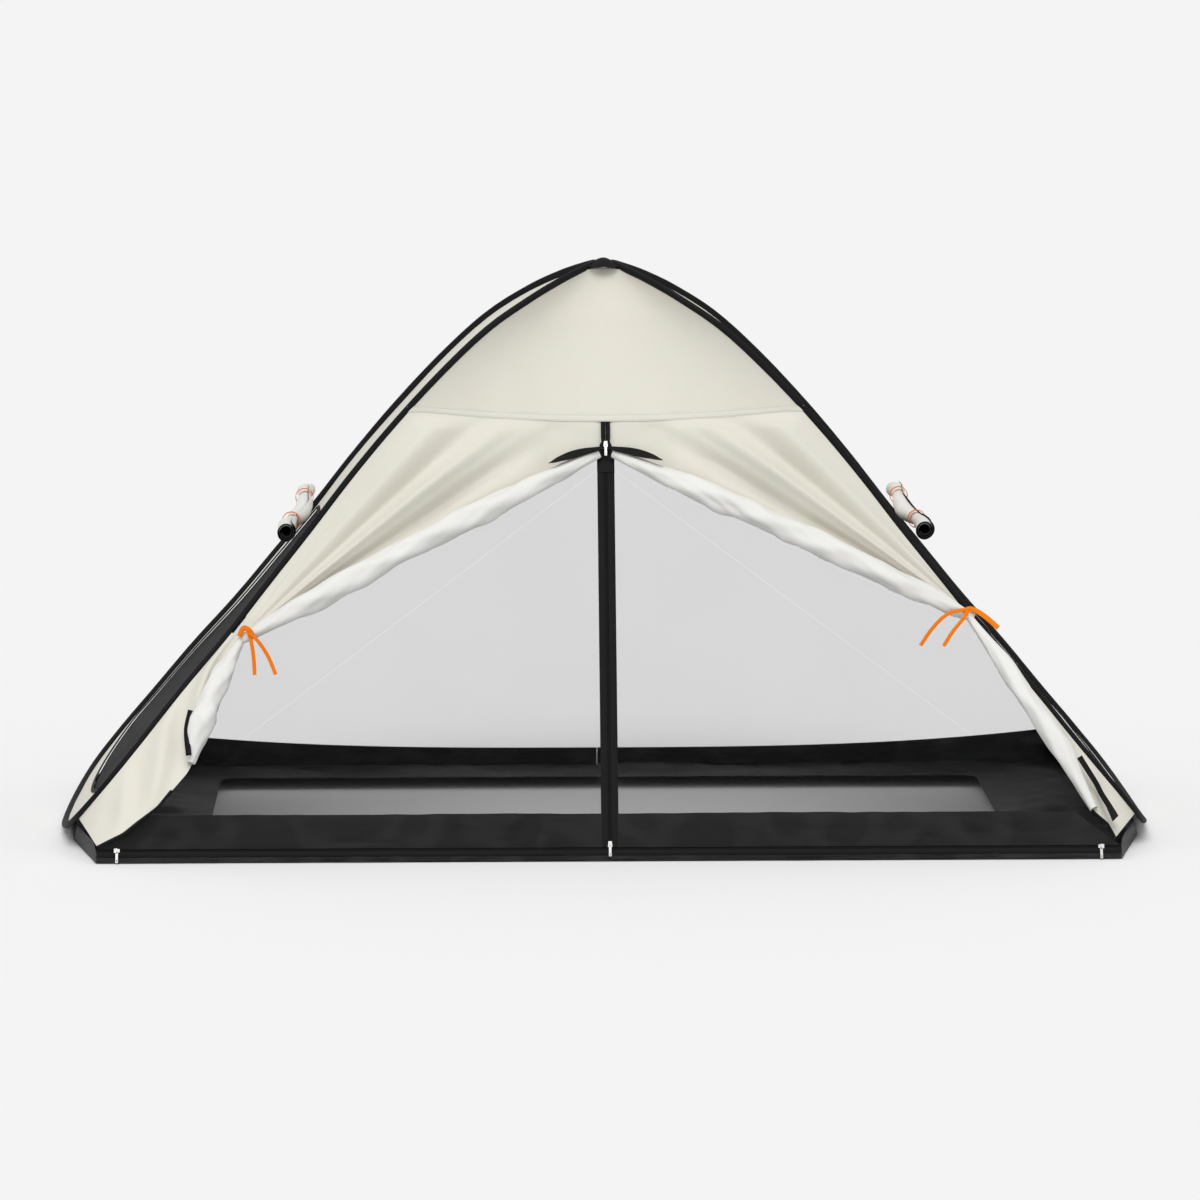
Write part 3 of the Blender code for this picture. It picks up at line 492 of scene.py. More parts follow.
def crown_place(s, t):
    x = CROWN_HALF[0] * (2 * s - 1)
    y = CROWN_HALF[1] * (2 * t - 1)
    wide, deep = (x / CROWN_HALF[0]) ** 2, (y / CROWN_HALF[1]) ** 2
    ridge = 0.0008 * math.cos(math.pi * x / 0.018)
    fall = 0.013 * wide + 0.015 * deep * (1 - wide)
    return Vector((x, y, CROWN_TOP + ridge - fall + 0.0004 * rumple_at(x * 90, y * 90, 0)))


crown = cut_cloth(
    "crown_patch_cloth", 24, 30, crown_place, (0.065, 0.080), [binding_cloth], Vector((0, 0, 1)), 0.0016
)
attach(crown, "centre", "sleeve", "crown_patch")

# Walls: one cream cloth from end to end above each long side's seam, stretched between the hoops.
# Coated polyester, cream outside and silver inside, flat-felled with two rows of stitches.
cream_cloth = woven_material(
    "cream_cloth", (0.738, 0.712, 0.632), (0.700, 0.674, 0.596), 0.0006, 0.10, 7.0, 0.62, 0.30, 0.08
)
silver_cloth = woven_material(
    "silver_coated_reverse", (0.810, 0.805, 0.775), (0.760, 0.755, 0.725), 0.0006, 0.16, 11.0, 0.46, 0.35
)
lined_cream = [cream_cloth, silver_cloth]
FLOOR_DEPTH = 0.500
ZIP_TOP_DEPTH = 0.178
ZIP_TOP = 0.720
WALL_SLOPE = (FLOOR_DEPTH - ZIP_TOP_DEPTH) / ZIP_TOP
CORNER_X = 0.968
TRACK_HEIGHT = 0.024
WALL_TOP = 1.082
BACK_SEAM = 0.760
DOOR_LAYER = 0.012
DOOR_FACING = Vector((0.0, -0.913, 0.408))
BACK_FACING = Vector((0.0, 0.913, 0.408))


def plane_depth(height):
    """Distance of the flat middle of a wall from the tent's long middle plane."""
    return FLOOR_DEPTH - WALL_SLOPE * height


def fold_x(height):
    """Distance from the centre of the line between the zip's top and the floor's corner."""
    return max(0.0, CORNER_X * (ZIP_TOP - height) / (ZIP_TOP - TRACK_HEIGHT))


def wall_depth(x, height):
    """Depth of a wall at a place: flat between the fold lines, then bent back to the hoop."""
    edge = leg(height)
    inner = min(fold_x(height), edge.x - 0.001)
    if x <= inner:
        return plane_depth(height)
    return between(plane_depth(height), -edge.y, min(1.0, (x - inner) / (edge.x - inner)))


def seam_height(x):
    """The door seam sags a little between the hoops."""
    return 0.806 + 0.020 * min(1.0, (x / 0.35) ** 2)


def wall_row(height, q, layer):
    """Point of the upper wall: q is 0 at the centre and 1 at the hoop, with a soft belly."""
    edge = leg(height)
    depth = between(plane_depth(height) + layer, -edge.y + 0.003, q ** 1.7)
    return Vector(((edge.x - 0.004) * q, -depth, height))


seam_group, seam_in, seam_out = new_group(
    "sewn_line", {"Thread length": 0.0035, "Row": 0.002, "Width": 0.0007}, {"Mask": "Float"}
)
seam_axes = axes_of(weave_place(seam_group))
seam_off = maths("ABSOLUTE", maths("SUBTRACT", seam_axes["Y"], seam_in["Row"]))
seam_on = maths("LESS_THAN", seam_off, seam_in["Width"])
seam_share = maths("FRACT", maths("DIVIDE", seam_axes["X"], seam_in["Thread length"]))
feed(seam_out, {"Mask": maths("MULTIPLY", seam_on, maths("LESS_THAN", seam_share, 0.72))})


def add_stitches(material, rows, thread_colour):
    """Rows of stitches, each at its distance from the weave map's edge, over a woven material."""
    shader = material.node_tree.nodes["Principled BSDF"]
    colour = shader.inputs["Base Color"].links[0].from_socket
    relief = shader.inputs["Normal"].links[0].from_node
    height = relief.inputs["Height"].links[0].from_socket
    for row in rows:
        sewn = add_node(material.node_tree, "Group", {"Row": row}, node_tree=seam_group).outputs["Mask"]
        colour = mix_colour(sewn, colour, thread_colour)
        height = maths("SUBTRACT", height, maths("MULTIPLY", sewn, 0.25))
    feed(shader, {"Base Color": colour})
    feed(relief, {"Height": height})


seam_cloth = woven_material(
    "cream_seam", (0.738, 0.716, 0.642), (0.700, 0.680, 0.606), 0.0006, 0.25, 60.0, 0.62, 0.4, 0.05
)
add_stitches(seam_cloth, (0.0018, 0.0120), (0.58, 0.565, 0.51, 1.0))

for word, side in SIDES.items():
    for wall, facing, low, layer, cut_area, look in (
        ("front", 1.0, 0.815, DOOR_LAYER, 0.0756, DOOR_FACING),
        ("back", -1.0, BACK_SEAM, 0.0, 0.0947, BACK_FACING),
    ):

        def seam_line(x):
            return seam_height(x) if facing > 0 else low + 0.004

        def upper_place(s, t):
            height = between(WALL_TOP, seam_line(leg(low).x * s), t ** 0.85)
            point = wall_row(height, s, layer * eased(0.0, 0.3, t))
            x = s * leg(height).x
            ripple = 0.0022 * math.sin(x * 55 + 3 * t) * eased(0.55, 1.0, t) * (1 - s) ** 0.5
            pull = 0.0030 * rumple_at(x * 5, height * 4, facing)
            point.y -= (ripple + pull) * eased(0.0, 0.22, s) * (1 - s) ** 0.5
            return Vector((point.x * side, point.y * facing, point.z))

        panel = cut_cloth(f"{wall}_upper_wall_{word}", 60, 50, upper_place, (0.40, 0.32), lined_cream, look)
        sew_to_frame(panel, word, "cream", f"{wall}_upper_panel_{word}")

        def seam_place(s, t):
            x = s * (leg(low).x - 0.006)
            height = seam_line(x) + 0.006 - 0.0135 * t
            point = wall_row(height, x / leg(height).x, layer)
            pad = 0.0008 * math.sin(math.pi * t) + 0.0004 * rumple_at(x * 60, t * 2, 2.0)
            return Vector((point.x * side, (point.y - 0.0010 - pad) * facing, point.z))

        size = (0.36, 0.0138)
        band = cut_cloth(f"{wall}_seam_{word}", 120, 8, seam_place, size, [seam_cloth], look, 0.0008)
        sew_to_frame(band, word, "cream")

# Ends: a cream panel across each hoop with a tall netting window, round at its foot and straight at
# its top. The window's cover is rolled up over it on the outside and held by two orange straps.
WINDOW_MARGIN = 0.038
WINDOW_TOP = 0.600
WINDOW_FOOT = 0.075
WINDOW_BEND = 0.085
WINDOW_HEM = 0.006
OUTWARD = Vector((0.72, 0, 0.69))
window_net, tree, shader = new_material(
    "window_netting", {"Roughness": 0.75, "Specular IOR Level": 0.15, "Alpha": 0.93}
)
net_tone = mix_colour(
    speckle(object_place(tree), 5.0), (0.014, 0.014, 0.015, 1.0), (0.028, 0.028, 0.029, 1.0)
)
feed(shader, {"Base Color": net_tone})
raise_surface(shader, speckle(weave_place(tree), 900.0, 2.0), 0.25, 0.001)


def window_half(height):
    """Half width of the window at a height, 0 at its foot."""
    low = WINDOW_FOOT + WINDOW_BEND
    if height >= low:
        return -leg(height).y - WINDOW_MARGIN
    full = -leg(low).y - WINDOW_MARGIN
    return full * math.sqrt(max(0.0, 1 - ((low - height) / (low - WINDOW_FOOT)) ** 2))


def window_edge():
    """The window's outline as (y, z), once round from its top middle."""
    low = WINDOW_FOOT + WINDOW_BEND
    outline = [(0.0, WINDOW_TOP)]
    for step in range(9):
        height = between(WINDOW_TOP, low, step / 8)
        outline.append((-window_half(height), height))
    for step in range(1, 12):
        angle = math.pi / 2 * step / 11
        outline.append((-window_half(low) * math.cos(angle), low - WINDOW_BEND * math.sin(angle)))
    return [Vector((y, z, 0)) for y, z in outline] + [Vector((-y, z, 0)) for y, z in outline[-2::-1]]


def end_point(y, z, lift=0.0):
    """Point on the right end's curved panel, raised outwards by lift."""
    edge = leg(z)
    step = leg(min(z + 0.01, 1.085)) - leg(max(z - 0.01, 0.012))
    out = Vector((step.z, 0, -step.x)).normalized()
    if out.z < 0:
        out = -out
    sag = 0.010 * (1 - min(1.0, abs(y) / max(0.02, -edge.y)) ** 2) * eased(0.03, 0.3, z)
    return Vector((edge.x, y, z)) + out * (lift - 0.003 - sag)


hoop_outline = [Vector((point.y, point.z, 0)) for point in HOOP[1:]]
hoop_outline[0].x = 0.0
outer_ring = even_points(hoop_outline, 90)
outer_ring += [Vector((-point.x, point.y, 0)) for point in outer_ring[-2::-1]]
inner_ring = even_points(window_edge(), len(outer_ring) - 1)

for word, side in SIDES.items():
    look = on_side(OUTWARD, side)

    def end_place(s, t):
        index = round(s * (len(outer_ring) - 1))
        outer, inner = outer_ring[index], inner_ring[index]
        y = between(outer.x * 0.985, inner.x, t)
        z = min(1.088, max(0.009, between(outer.y, inner.y, t)))
        rumple = 0.0025 * rumple_at(y * 9, z * 9, side)
        return on_side(end_point(y, z, rumple * math.sin(math.pi * t)), side)

    panel = cut_cloth(f"end_wall_{word}", len(outer_ring) - 1, 26, end_place, (2.9, 0.30), lined_cream, look)
    attach(panel, f"{word}_frame", "cream", f"end_panel_{word}")

    def net_place(s, t):
        z = between(WINDOW_TOP + 0.004, WINDOW_FOOT - 0.002, t)
        half = window_half(max(WINDOW_FOOT + 0.0005, min(z, WINDOW_TOP))) + WINDOW_HEM
        y = half * (2 * s - 1)
        return on_side(end_point(y, z, -0.0024 + 0.0012 * rumple_at(y * 7, z * 7, 5)), side)

    net = cut_cloth(f"window_net_{word}", 40, 60, net_place, (0.62, 0.75), [window_net], look, 0.0005)
    attach(net, f"{word}_frame", "window", f"window_mesh_{word}")

    ring = even_points(window_edge(), 220)
    frames = framed([on_side(end_point(p.x, p.y, 0.0012), side) for p in ring], look, closed=True)
    section = oval(0.0011, 0.0045)
    binding = swept(f"window_binding_{word}", frames, section, 8, (0.012, 2.2), [binding_cloth])
    attach(binding, f"{word}_frame", "sleeve")

# Window covers: each cover is wound up along the top of its window, pale reverse outwards, and its
# dark inner face shows as a spiral at both ends.
dark_lining = woven_material(
    "dark_lining", (0.010, 0.010, 0.010), (0.020, 0.020, 0.020), 0.0008, 0.3, 40.0, 0.6, 0.3
)
orange_webbing = woven_material(
    "orange_webbing", (0.95, 0.235, 0.004), (0.62, 0.120, 0.003), 0.0011, 0.10, 60.0, 0.65, 0.5, 0.0, 0.12
)
COVER_RADIUS = 0.019
COVER_HALF = 0.198
COVER_TURNS = 2.6
COVER_STEPS = 60
STRAP_PLACE = 0.095
STRAP_THIN = 0.0006
STRAP_WIDE = 0.0045
STRAP_CORNERS = (0.0, 1.0, 2.0, 3.0, 4.0)


def strap_section(turn, t):
    """A flat band's four corners, once round."""
    thin = value_at(STRAP_CORNERS, (1.0, 1.0, -1.0, -1.0, 1.0), 4 * turn)
    wide = value_at(STRAP_CORNERS, (-1.0, 1.0, 1.0, -1.0, -1.0), 4 * turn)
    return STRAP_THIN * thin, STRAP_WIDE * wide


for word, side in SIDES.items():
    low_corner, high_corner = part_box(f"window_cover_roll_{word}")
    roll_x = (low_corner[0] + high_corner[0]) / 2
    roll_z = (low_corner[2] + high_corner[2]) / 2
    line = []
    for step in range(COVER_STEPS + 1):
        y = between(-COVER_HALF, COVER_HALF, step / COVER_STEPS)
        slip = 0.034 * (1 - eased(-0.2, 0.13, y))
        sway = 0.004 * math.cos(y * 22)
        line.append(Vector((roll_x + side * (0.86 * slip - sway), y, roll_z + 0.010 - slip - sway)))
    frames = framed(line, Vector((0, 0, 1)))

    def cover_section(s, t):
        y = between(-COVER_HALF, COVER_HALF, t)
        turn = 2 * math.pi * (0.1 + COVER_TURNS * s)
        waist = 1 - 0.30 * bump_at(y, -STRAP_PLACE, 0.035) - 0.30 * bump_at(y, STRAP_PLACE, 0.035)
        end = 1 + 0.06 * eased(0.13, 0.2, abs(y)) - 0.14 * eased(0.0, 0.2, y)
        radius = COVER_RADIUS * waist * end * (1 - 0.20 * s * COVER_TURNS)
        radius += 0.0010 * math.sin(turn * 2 + y * 60) * (1 - s) + 0.0007 * rumple_at(turn, y * 40, side)
        return radius * math.cos(turn), radius * math.sin(turn)

    wound = [silver_cloth, dark_lining]
    cover = swept(f"window_cover_{word}", frames, cover_section, 84, (0.26, 0.40), wound, 0.0012)
    cover.modifiers["cloth"].material_offset_rim = 1
    attach(cover, f"{word}_frame", "reverse", f"window_cover_roll_{word}")

    for place, y in (("near", -STRAP_PLACE), ("far", STRAP_PLACE)):
        spot = line[round((y + COVER_HALF) / (2 * COVER_HALF) * COVER_STEPS)]
        angles = [2 * math.pi * step / 40 for step in range(41)]
        reach = COVER_RADIUS * 0.80 + 0.0020
        ring = [spot + Vector((math.cos(angle), 0, math.sin(angle))) * reach for angle in angles]
        frames = framed(ring, lambda point: spot - point, closed=True)
        size = (0.02, 0.10)
        strap = swept(f"cover_strap_{place}_{word}", frames, strap_section, 16, size, [orange_webbing])
        attach(strap, f"{word}_frame", "orange", f"window_strap_{place}_{word}")

# Outer door leaves: each leaf of cream cloth hangs from the seam and the hoop, is rolled outwards
# from its lower edge so that its silver reverse shows, and is gathered to the hoop by an orange tie.
TIE_HEIGHT = 0.430
TIE_SHIFT = {"left": -0.026, "right": 0.010}
ROLL_STOPS = (0.0, 0.10, 0.30, 0.82, 0.94, 1.0)
ROLL_RADII = (0.008, 0.016, 0.0235, 0.0225, 0.0130, 0.0075)
ROLL_TURNS = 1.55
ROLL_STEPS = 96
HEM_COLUMN = 36
HEM_CORNER = leg(0.820).x


def roll_line(count, word):
    """Middle line of an upper roll with its radius, from the zip's top to the tie."""
    low = TIE_HEIGHT - 0.008
    line = []
    for step in range(count + 1):
        share = step / count
        x = between(0.014, leg(low).x - 0.008, share)
        height = between(0.740, low + TIE_SHIFT[word], share) + 0.010 * math.sin(math.pi * share)
        radius = value_at(ROLL_STOPS, ROLL_RADII, share)
        line.append((Vector((x, -wall_depth(x, height) - 0.0048 - radius, height)), radius))
    return line


def leaf_top(share):
    """Upper edge of a leaf: along the seam to the hoop, then down the hoop to the tie."""
    corner = HEM_COLUMN / ROLL_STEPS
    if share <= corner:
        x = between(0.003, HEM_CORNER - 0.004, share / corner)
        height = seam_height(x) - 0.004
        return wall_row(height, min(1.0, x / (leg(height).x - 0.004)), DOOR_LAYER)
    height = between(seam_height(HEM_CORNER) - 0.004, TIE_HEIGHT + 0.012, (share - corner) / (1 - corner))
    return leg(height) + Vector((-0.0045, -0.0040, -0.0030))


for word, side in SIDES.items():
    line = roll_line(ROLL_STEPS, word)
    tie_point = line[-1][0]
    roll_start = line[0][0]
    frames = framed([point for point, _ in line], DOOR_FACING)
    low_angle = math.atan2(roll_start.z - tie_point.z, tie_point.x - roll_start.x) + 0.05
    high_angle = math.atan2(0.820 - tie_point.z, tie_point.x - HEM_CORNER)

    def leaf_place(s, t):
        index = round(s * ROLL_STEPS)
        centre, out, across = frames[index]
        radius = line[index][1]
        if t > 0.5:
            share = (t - 0.5) / 0.5
            up = across if across.z > 0 else -across
            turn = math.pi + 2 * math.pi * ROLL_TURNS * share
            twist = turn + 0.5 * rumple_at(s * 7, turn * 0.5, side)
            crease = 0.085 * math.sin(2 * twist + 18 * s + side) + 0.075 * math.sin(3 * twist - 38 * s)
            crease += 0.16 * rumple_at(s * 11, twist * 1.4 + s * 14, side * 3)
            size = radius * (1 - 0.17 * ROLL_TURNS * share + crease * (1 - 0.6 * share))
            return on_side(centre + out * size * math.cos(turn) + up * size * math.sin(turn), side)
        share = t / 0.5
        point = leaf_top(s).lerp(centre - out * radius, share)
        far = math.hypot(tie_point.x - point.x, point.z - tie_point.z)
        angle = math.atan2(point.z - tie_point.z, tie_point.x - point.x)
        place = (angle - low_angle) / (high_angle - low_angle)
        folds = 0.020 + 0.066 * bump_at(place, 0.33, 0.080) - 0.042 * bump_at(place, 0.12, 0.06)
        folds += 0.034 * bump_at(place, 0.70, 0.10) - 0.024 * bump_at(place, 0.52, 0.06)
        folds += 0.014 * bump_at(place, 0.22, 0.03) - 0.014 * bump_at(place, 0.93, 0.05)
        fade = (1 - eased(0.42, 0.74, far)) * eased(0.0, 0.22, share) * (1 - 0.55 * eased(0.85, 1.0, share))
        pleat = 0.0050 * bump_at(point.x, 0.16, 0.035) - 0.0045 * bump_at(point.x, 0.10, 0.025)
        lift = folds * far * fade + pleat * eased(0.0, 0.3, share) * (1 - eased(0.8, 1.0, share))
        lift += 0.0020 * rumple_at(point.x * 12, point.z * 12, side * 4) * math.sin(math.pi * share)
        lift -= 0.0045 * bump_at(point.x, 0.0, 0.012)
        lift = max(lift, -0.30 * between(DOOR_LAYER, 0.0048, share))
        return on_side(point + DOOR_FACING * lift, side)

    size = (0.72, 0.42)
    leaf = cut_cloth(f"outer_leaf_{word}", ROLL_STEPS, 110, leaf_place, size, lined_cream, DOOR_FACING)
    sew_to_frame(leaf, word, "cream", f"outer_flap_{word}", f"flap_roll_{word}")

# Lower part of each leaf: a cream corner sewn to the hoop, with its loose side rolled outwards, the
# silver reverse showing. A strip of the outer door's zip tape lies along its loose edge.
LOWER_ROLL = {
    "left": ((0.697, 0.390), (0.711, 0.362), (0.738, 0.310), (0.764, 0.245), (0.788, 0.172)),
    "right": ((0.690, 0.430), (0.716, 0.392), (0.764, 0.320), (0.814, 0.244), (0.864, 0.165), (0.910, 0.080)),
}
LOOSE_EDGE = {
    "left": ((0.796, 0.158), (0.850, 0.100), (0.915, 0.050), (0.960, 0.026)),
    "right": ((0.938, 0.056), (0.950, 0.034)),
}
TAPE_ROUTE = {
    "left": ((0.786, 0.257), (0.792, 0.222), (0.786, 0.176)),
    "right": ((0.884, 0.166), (0.908, 0.122), (0.917, 0.094), (0.936, 0.052)),
}
ROLL_SIZE = {"left": (0.007, 0.020, 0.026, 0.009), "right": (0.007, 0.018, 0.021, 0.009)}
LOWER_TURNS = 1.9
EDGE_STEPS = 60
BARE_FROM = {"left": 38, "right": 52}


def front_point(x, height, lift):
    """Point in front of the door wall by a lift along the wall's normal."""
    wide = [Vector((x + d, -wall_depth(x + d, height), height)) for d in (-0.02, 0.02)]
    tall = [Vector((x, -wall_depth(x, height + d), height + d)) for d in (-0.02, 0.02)]
    normal = (wide[1] - wide[0]).cross(tall[1] - tall[0]).normalized()
    return Vector((x, -wall_depth(x, height), height)) + normal * lift


def upright(pairs):
    """Places given as (x, height), as points."""
    return [Vector((x, 0, z)) for x, z in pairs]


def strip_point(line, s, t, width):
    """Point of a flat strip of a width along an upright line."""
    index = round(t * (len(line) - 1))
    along = along_at(line, index)
    return line[index] + Vector((-along.z, 0, along.x)) * width * (s - 0.5)


def roll_size(word, share):
    return value_at((0.0, 0.3, 0.7, 1.0), ROLL_SIZE[word], share)


tape_cloth = woven_material(
    "zip_tape", (0.0040, 0.0040, 0.0043), (0.008, 0.008, 0.0085), 0.0016, 0.10, 40.0, 0.60, 0.55, 0.0, 0.13
)

for word, side in SIDES.items():
    roll = smooth_path(upright(LOWER_ROLL[word]), 40)
    inner_line = even_points([*roll, *upright(LOOSE_EDGE[word])], EDGE_STEPS)

    def corner_place(s, t):
        inner = inner_line[round(t * EDGE_STEPS)]
        outer = leg(between(TIE_HEIGHT - 0.022, 0.062, t)) + Vector((-0.0050, -0.0040, 0.0))
        wave = 0.022 * bump_at(t, 0.74 - 0.30 * s, 0.090) + 0.010 * bump_at(t, 0.92 - 0.22 * s, 0.050)
        wave += 0.018 * bump_at(t, 0.42 - 0.30 * s, 0.085)
        wave += 0.0040 * rumple_at(s * 3, t * 9, side * 2)
        wave *= math.sin(math.pi * s) ** 0.8
        point = front_point(inner.x, inner.z, 0.006).lerp(outer, s)
        return on_side(point + DOOR_FACING * (max(-0.0030, wave) + 0.002), side)

    corner_cloth = cut_cloth(
        f"corner_cloth_{word}", 30, 60, corner_place, (0.16, 0.42), lined_cream, DOOR_FACING
    )
    sew_to_frame(corner_cloth, word, "cream", f"flap_corner_{word}")

    bare = [on_side(front_point(spot.x, spot.z, 0.0080), side) for spot in inner_line[BARE_FROM[word]:]]
    frames = framed(smooth_path(bare, 40), DOOR_FACING)
    section = oval(0.0014, 0.0032)
    piping = swept(f"corner_binding_{word}", frames, section, 8, (0.012, 0.26), [binding_cloth])
    sew_to_frame(piping, word, "sleeve")

    centres = []
    for index, spot in enumerate(roll):
        radius = roll_size(word, index / 40)
        centres.append(on_side(front_point(spot.x, spot.z, 0.0052 + radius), side))
    frames = framed(centres, DOOR_FACING)

    def lower_roll_section(s, t):
        turn = math.pi + 2 * math.pi * LOWER_TURNS * (1 - s)
        crease = 0.09 * math.sin(2 * turn + 15 * t) + 0.05 * math.sin(5 * turn - 22 * t)
        crease += 0.16 * rumple_at(t * 8, turn + t * 10, side * 5)
        size = roll_size(word, t) * (1 - 0.15 * LOWER_TURNS * (1 - s) + crease * s)
        return size * math.cos(turn), size * math.sin(turn)

    wound = [silver_cloth, cream_cloth]
    lower_roll = swept(f"lower_roll_{word}", frames, lower_roll_section, 90, (0.24, 0.32), wound, 0.0009)
    sew_to_frame(lower_roll, word, "reverse", f"lower_flap_roll_{word}")

    tape_line = smooth_path(upright(TAPE_ROUTE[word]), 40)

    def flap_tape_place(s, t):
        spot = strip_point(tape_line, s, t, 0.011)
        bulge = 0.0010 * math.cos(math.pi * (s - 0.5))
        return on_side(front_point(spot.x, spot.z, 0.0360 + bulge), side)

    flap_tape = cut_cloth(
        f"flap_tape_{word}", 8, 40, flap_tape_place, (0.011, 0.10), [tape_cloth], DOOR_FACING, 0.0012
    )
    sew_to_frame(flap_tape, word, "tape", f"flap_zip_tape_{word}")

# Orange ties: a doubled webbing loop knotted round each roll, with its tails hanging free. Each path
# is measured across and up from the knot: the loop first, then the two tails.
TIE_PATHS = {
    "left": (
        ((-0.014, -0.004), (-0.005, 0.012), (0.006, 0.006), (0.014, -0.008)),
        ((0.004, 0.002), (0.010, -0.020), (0.014, -0.048), (0.016, -0.080)),
        ((0.006, 0.000), (0.024, -0.018), (0.042, -0.046), (0.056, -0.080)),
    ),
    "right": (
        ((-0.006, 0.002), (0.008, 0.006), (0.030, -0.006), (0.060, -0.032)),
        ((0.002, 0.004), (-0.034, -0.004), (-0.064, -0.030), (-0.090, -0.066)),
        ((0.002, 0.000), (-0.008, -0.016), (-0.028, -0.040), (-0.046, -0.068)),
    ),
}
for word, side in SIDES.items():
    knot, radius = roll_line(ROLL_STEPS, word)[-3]
    for number, path in enumerate(TIE_PATHS[word]):
        line = smooth_path(upright(path), 36)
        wide = 0.0072 if number else 0.0100

        def ribbon_place(s, t):
            spot = strip_point(line, s, t, wide)
            curl = 0.0040 * math.sin(3 * t + number) + 0.0035 * number
            dish = 0.0012 * math.cos(math.pi * (s - 0.5))
            base = on_side(knot, side) + DOOR_FACING * (radius + 0.002 + curl + dish)
            return base + Vector((spot.x, 0, 0)) + Vector((0, 0.408, 0.913)) * spot.z

        name = f"tie_{word}_{number + 1}"
        ribbon = cut_cloth(name, 8, 36, ribbon_place, (wide, 0.09), [orange_webbing], DOOR_FACING, 0.0014)
        sew_to_frame(ribbon, word, "orange", *([f"flap_tie_{word}"] if number == 0 else []))

# Netting: very fine dark mesh, almost clear, in the two zipped doors, in the two fixed triangles
# beside them and all across the back below its seam. It hangs flat and tight.
netting, tree, shader = new_material(
    "fine_netting",
    {"Base Color": (0.030, 0.030, 0.032, 1.0), "Roughness": 0.7, "Specular IOR Level": 0.1},
)
veil = maths("MULTIPLY_ADD", speckle(object_place(tree), 4.0), 0.020, 0.060)
shaded = maths("MULTIPLY", add_node(tree, "LightPath").outputs["Is Shadow Ray"], 0.40)
feed(shader, {"Alpha": maths("ADD", veil, shaded, clamp=True)})

RUN = math.hypot(1.0, WALL_SLOPE)
UP_SLOPE = Vector((0, WALL_SLOPE / RUN, 1 / RUN))
LEAF_UP = (ZIP_TOP - TRACK_HEIGHT) * RUN
HEM_INSET = 0.0016
NET_WALL = 0.0004


def door_point(side, x, up, lift=0.0):
    """Point on the door's plane, measured from the middle of the zip's foot."""
    origin = Vector((0, -plane_depth(TRACK_HEIGHT), TRACK_HEIGHT))
    return origin + Vector((x * side, 0, 0)) + UP_SLOPE * up + DOOR_FACING * lift


def leaf_reach(up):
    """Distance from the middle to the fold line, at a place up the slope."""
    return CORNER_X * (1 - up / LEAF_UP)


def back_edge_height(x):
    """Top of the back skirt: it rises to the corner."""
    return 0.060 + 0.045 * min(1.0, x / CORNER_X) ** 3


def cut_net(name, across, down, place, size, facing):
    return cut_cloth(name, across, down, place, size, [netting], facing, NET_WALL)


def sew_to_door(piece, word, slot, *nodes):
    """The piece rides on its door leaf, with a mesh of its own."""
    attach(piece, f"door_{word}", slot, *nodes)
    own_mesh(piece)


for word, side in SIDES.items():

    def door_place(s, t):
        up = between(LEAF_UP - 0.014, 0.066, t)
        x = between(0.0155, max(0.0165, leaf_reach(up) - HEM_INSET), s)
        sag = 0.0015 * rumple_at(x * 4, up * 4, side)
        return door_point(side, x, up, sag * math.sin(math.pi * s))

    door = cut_net(f"door_net_{word}", 40, 50, door_place, (0.95, 0.75), DOOR_FACING)
    sew_to_door(door, word, "netting", f"mesh_door_{word}")

    def side_place(s, t):
        height = between(0.805, 0.042, t)
        edge = leg(height) + Vector((-0.0060, 0.0020, 0))
        inner = Vector((min(fold_x(height), edge.x - 0.004), -plane_depth(height), height))
        return on_side(inner.lerp(edge, s), side)

    side_net = cut_net(f"side_net_{word}", 24, 60, side_place, (0.40, 0.80), DOOR_FACING)
    sew_to_frame(side_net, word, "netting", f"front_mesh_{word}")

    def back_place(s, t):
        height = between(BACK_SEAM, back_edge_height(s * CORNER_X), t)
        x = s * (leg(max(height, 0.02)).x - 0.006)
        sag = 0.0030 * rumple_at(x * 3, height * 3, side)
        return Vector((x * side, wall_depth(x, height) - 0.002 + sag * math.sin(math.pi * t), height))

    back_net = cut_net(f"back_net_{word}", 50, 60, back_place, (1.0, 0.80), BACK_FACING)
    sew_to_frame(back_net, word, "netting", f"back_mesh_{word}")

# Mesh door's zip: black tapes up the middle and along the floor, with a nylon coil between them, and
# a black kick band across the foot of each leaf.
TAPE_GAP = 0.0026
TAPE_WALL = 0.0012
COIL_WALL = 0.0006
# The kick band's lighter second colour is painted along its crease lines as painted highlights.
band_cloth = woven_material(
    "kick_band", (0.005, 0.005, 0.0053), (0.026, 0.026, 0.027), 0.0009, 0.8, 11.0, 0.37, 1.0, 0.0, 0.50, 0.018
)
coil_group, coil_in, coil_out = new_group("zip_coil", {"Pitch": 0.0016}, {"Height": "Float"})
coil_axes = axes_of(weave_place(coil_group))
coil_turns = maths("DIVIDE", 2 * math.pi, coil_in["Pitch"])
feed(coil_out, {"Height": maths("SINE", maths("MULTIPLY", coil_axes["Y"], coil_turns))})
coil_nylon, tree, shader = new_material(
    "nylon_coil", {"Base Color": (0.006, 0.006, 0.0065, 1.0), "Roughness": 0.50, "Specular IOR Level": 0.2}
)
raise_surface(shader, add_node(tree, "Group", node_tree=coil_group).outputs["Height"], 0.8, 0.0006)


def zip_strip(name, across, down, place, size, cloth, thickness):
    """A narrow piece of the zip that faces out of the door."""
    return cut_cloth(name, across, down, place, size, [cloth], DOOR_FACING, thickness)


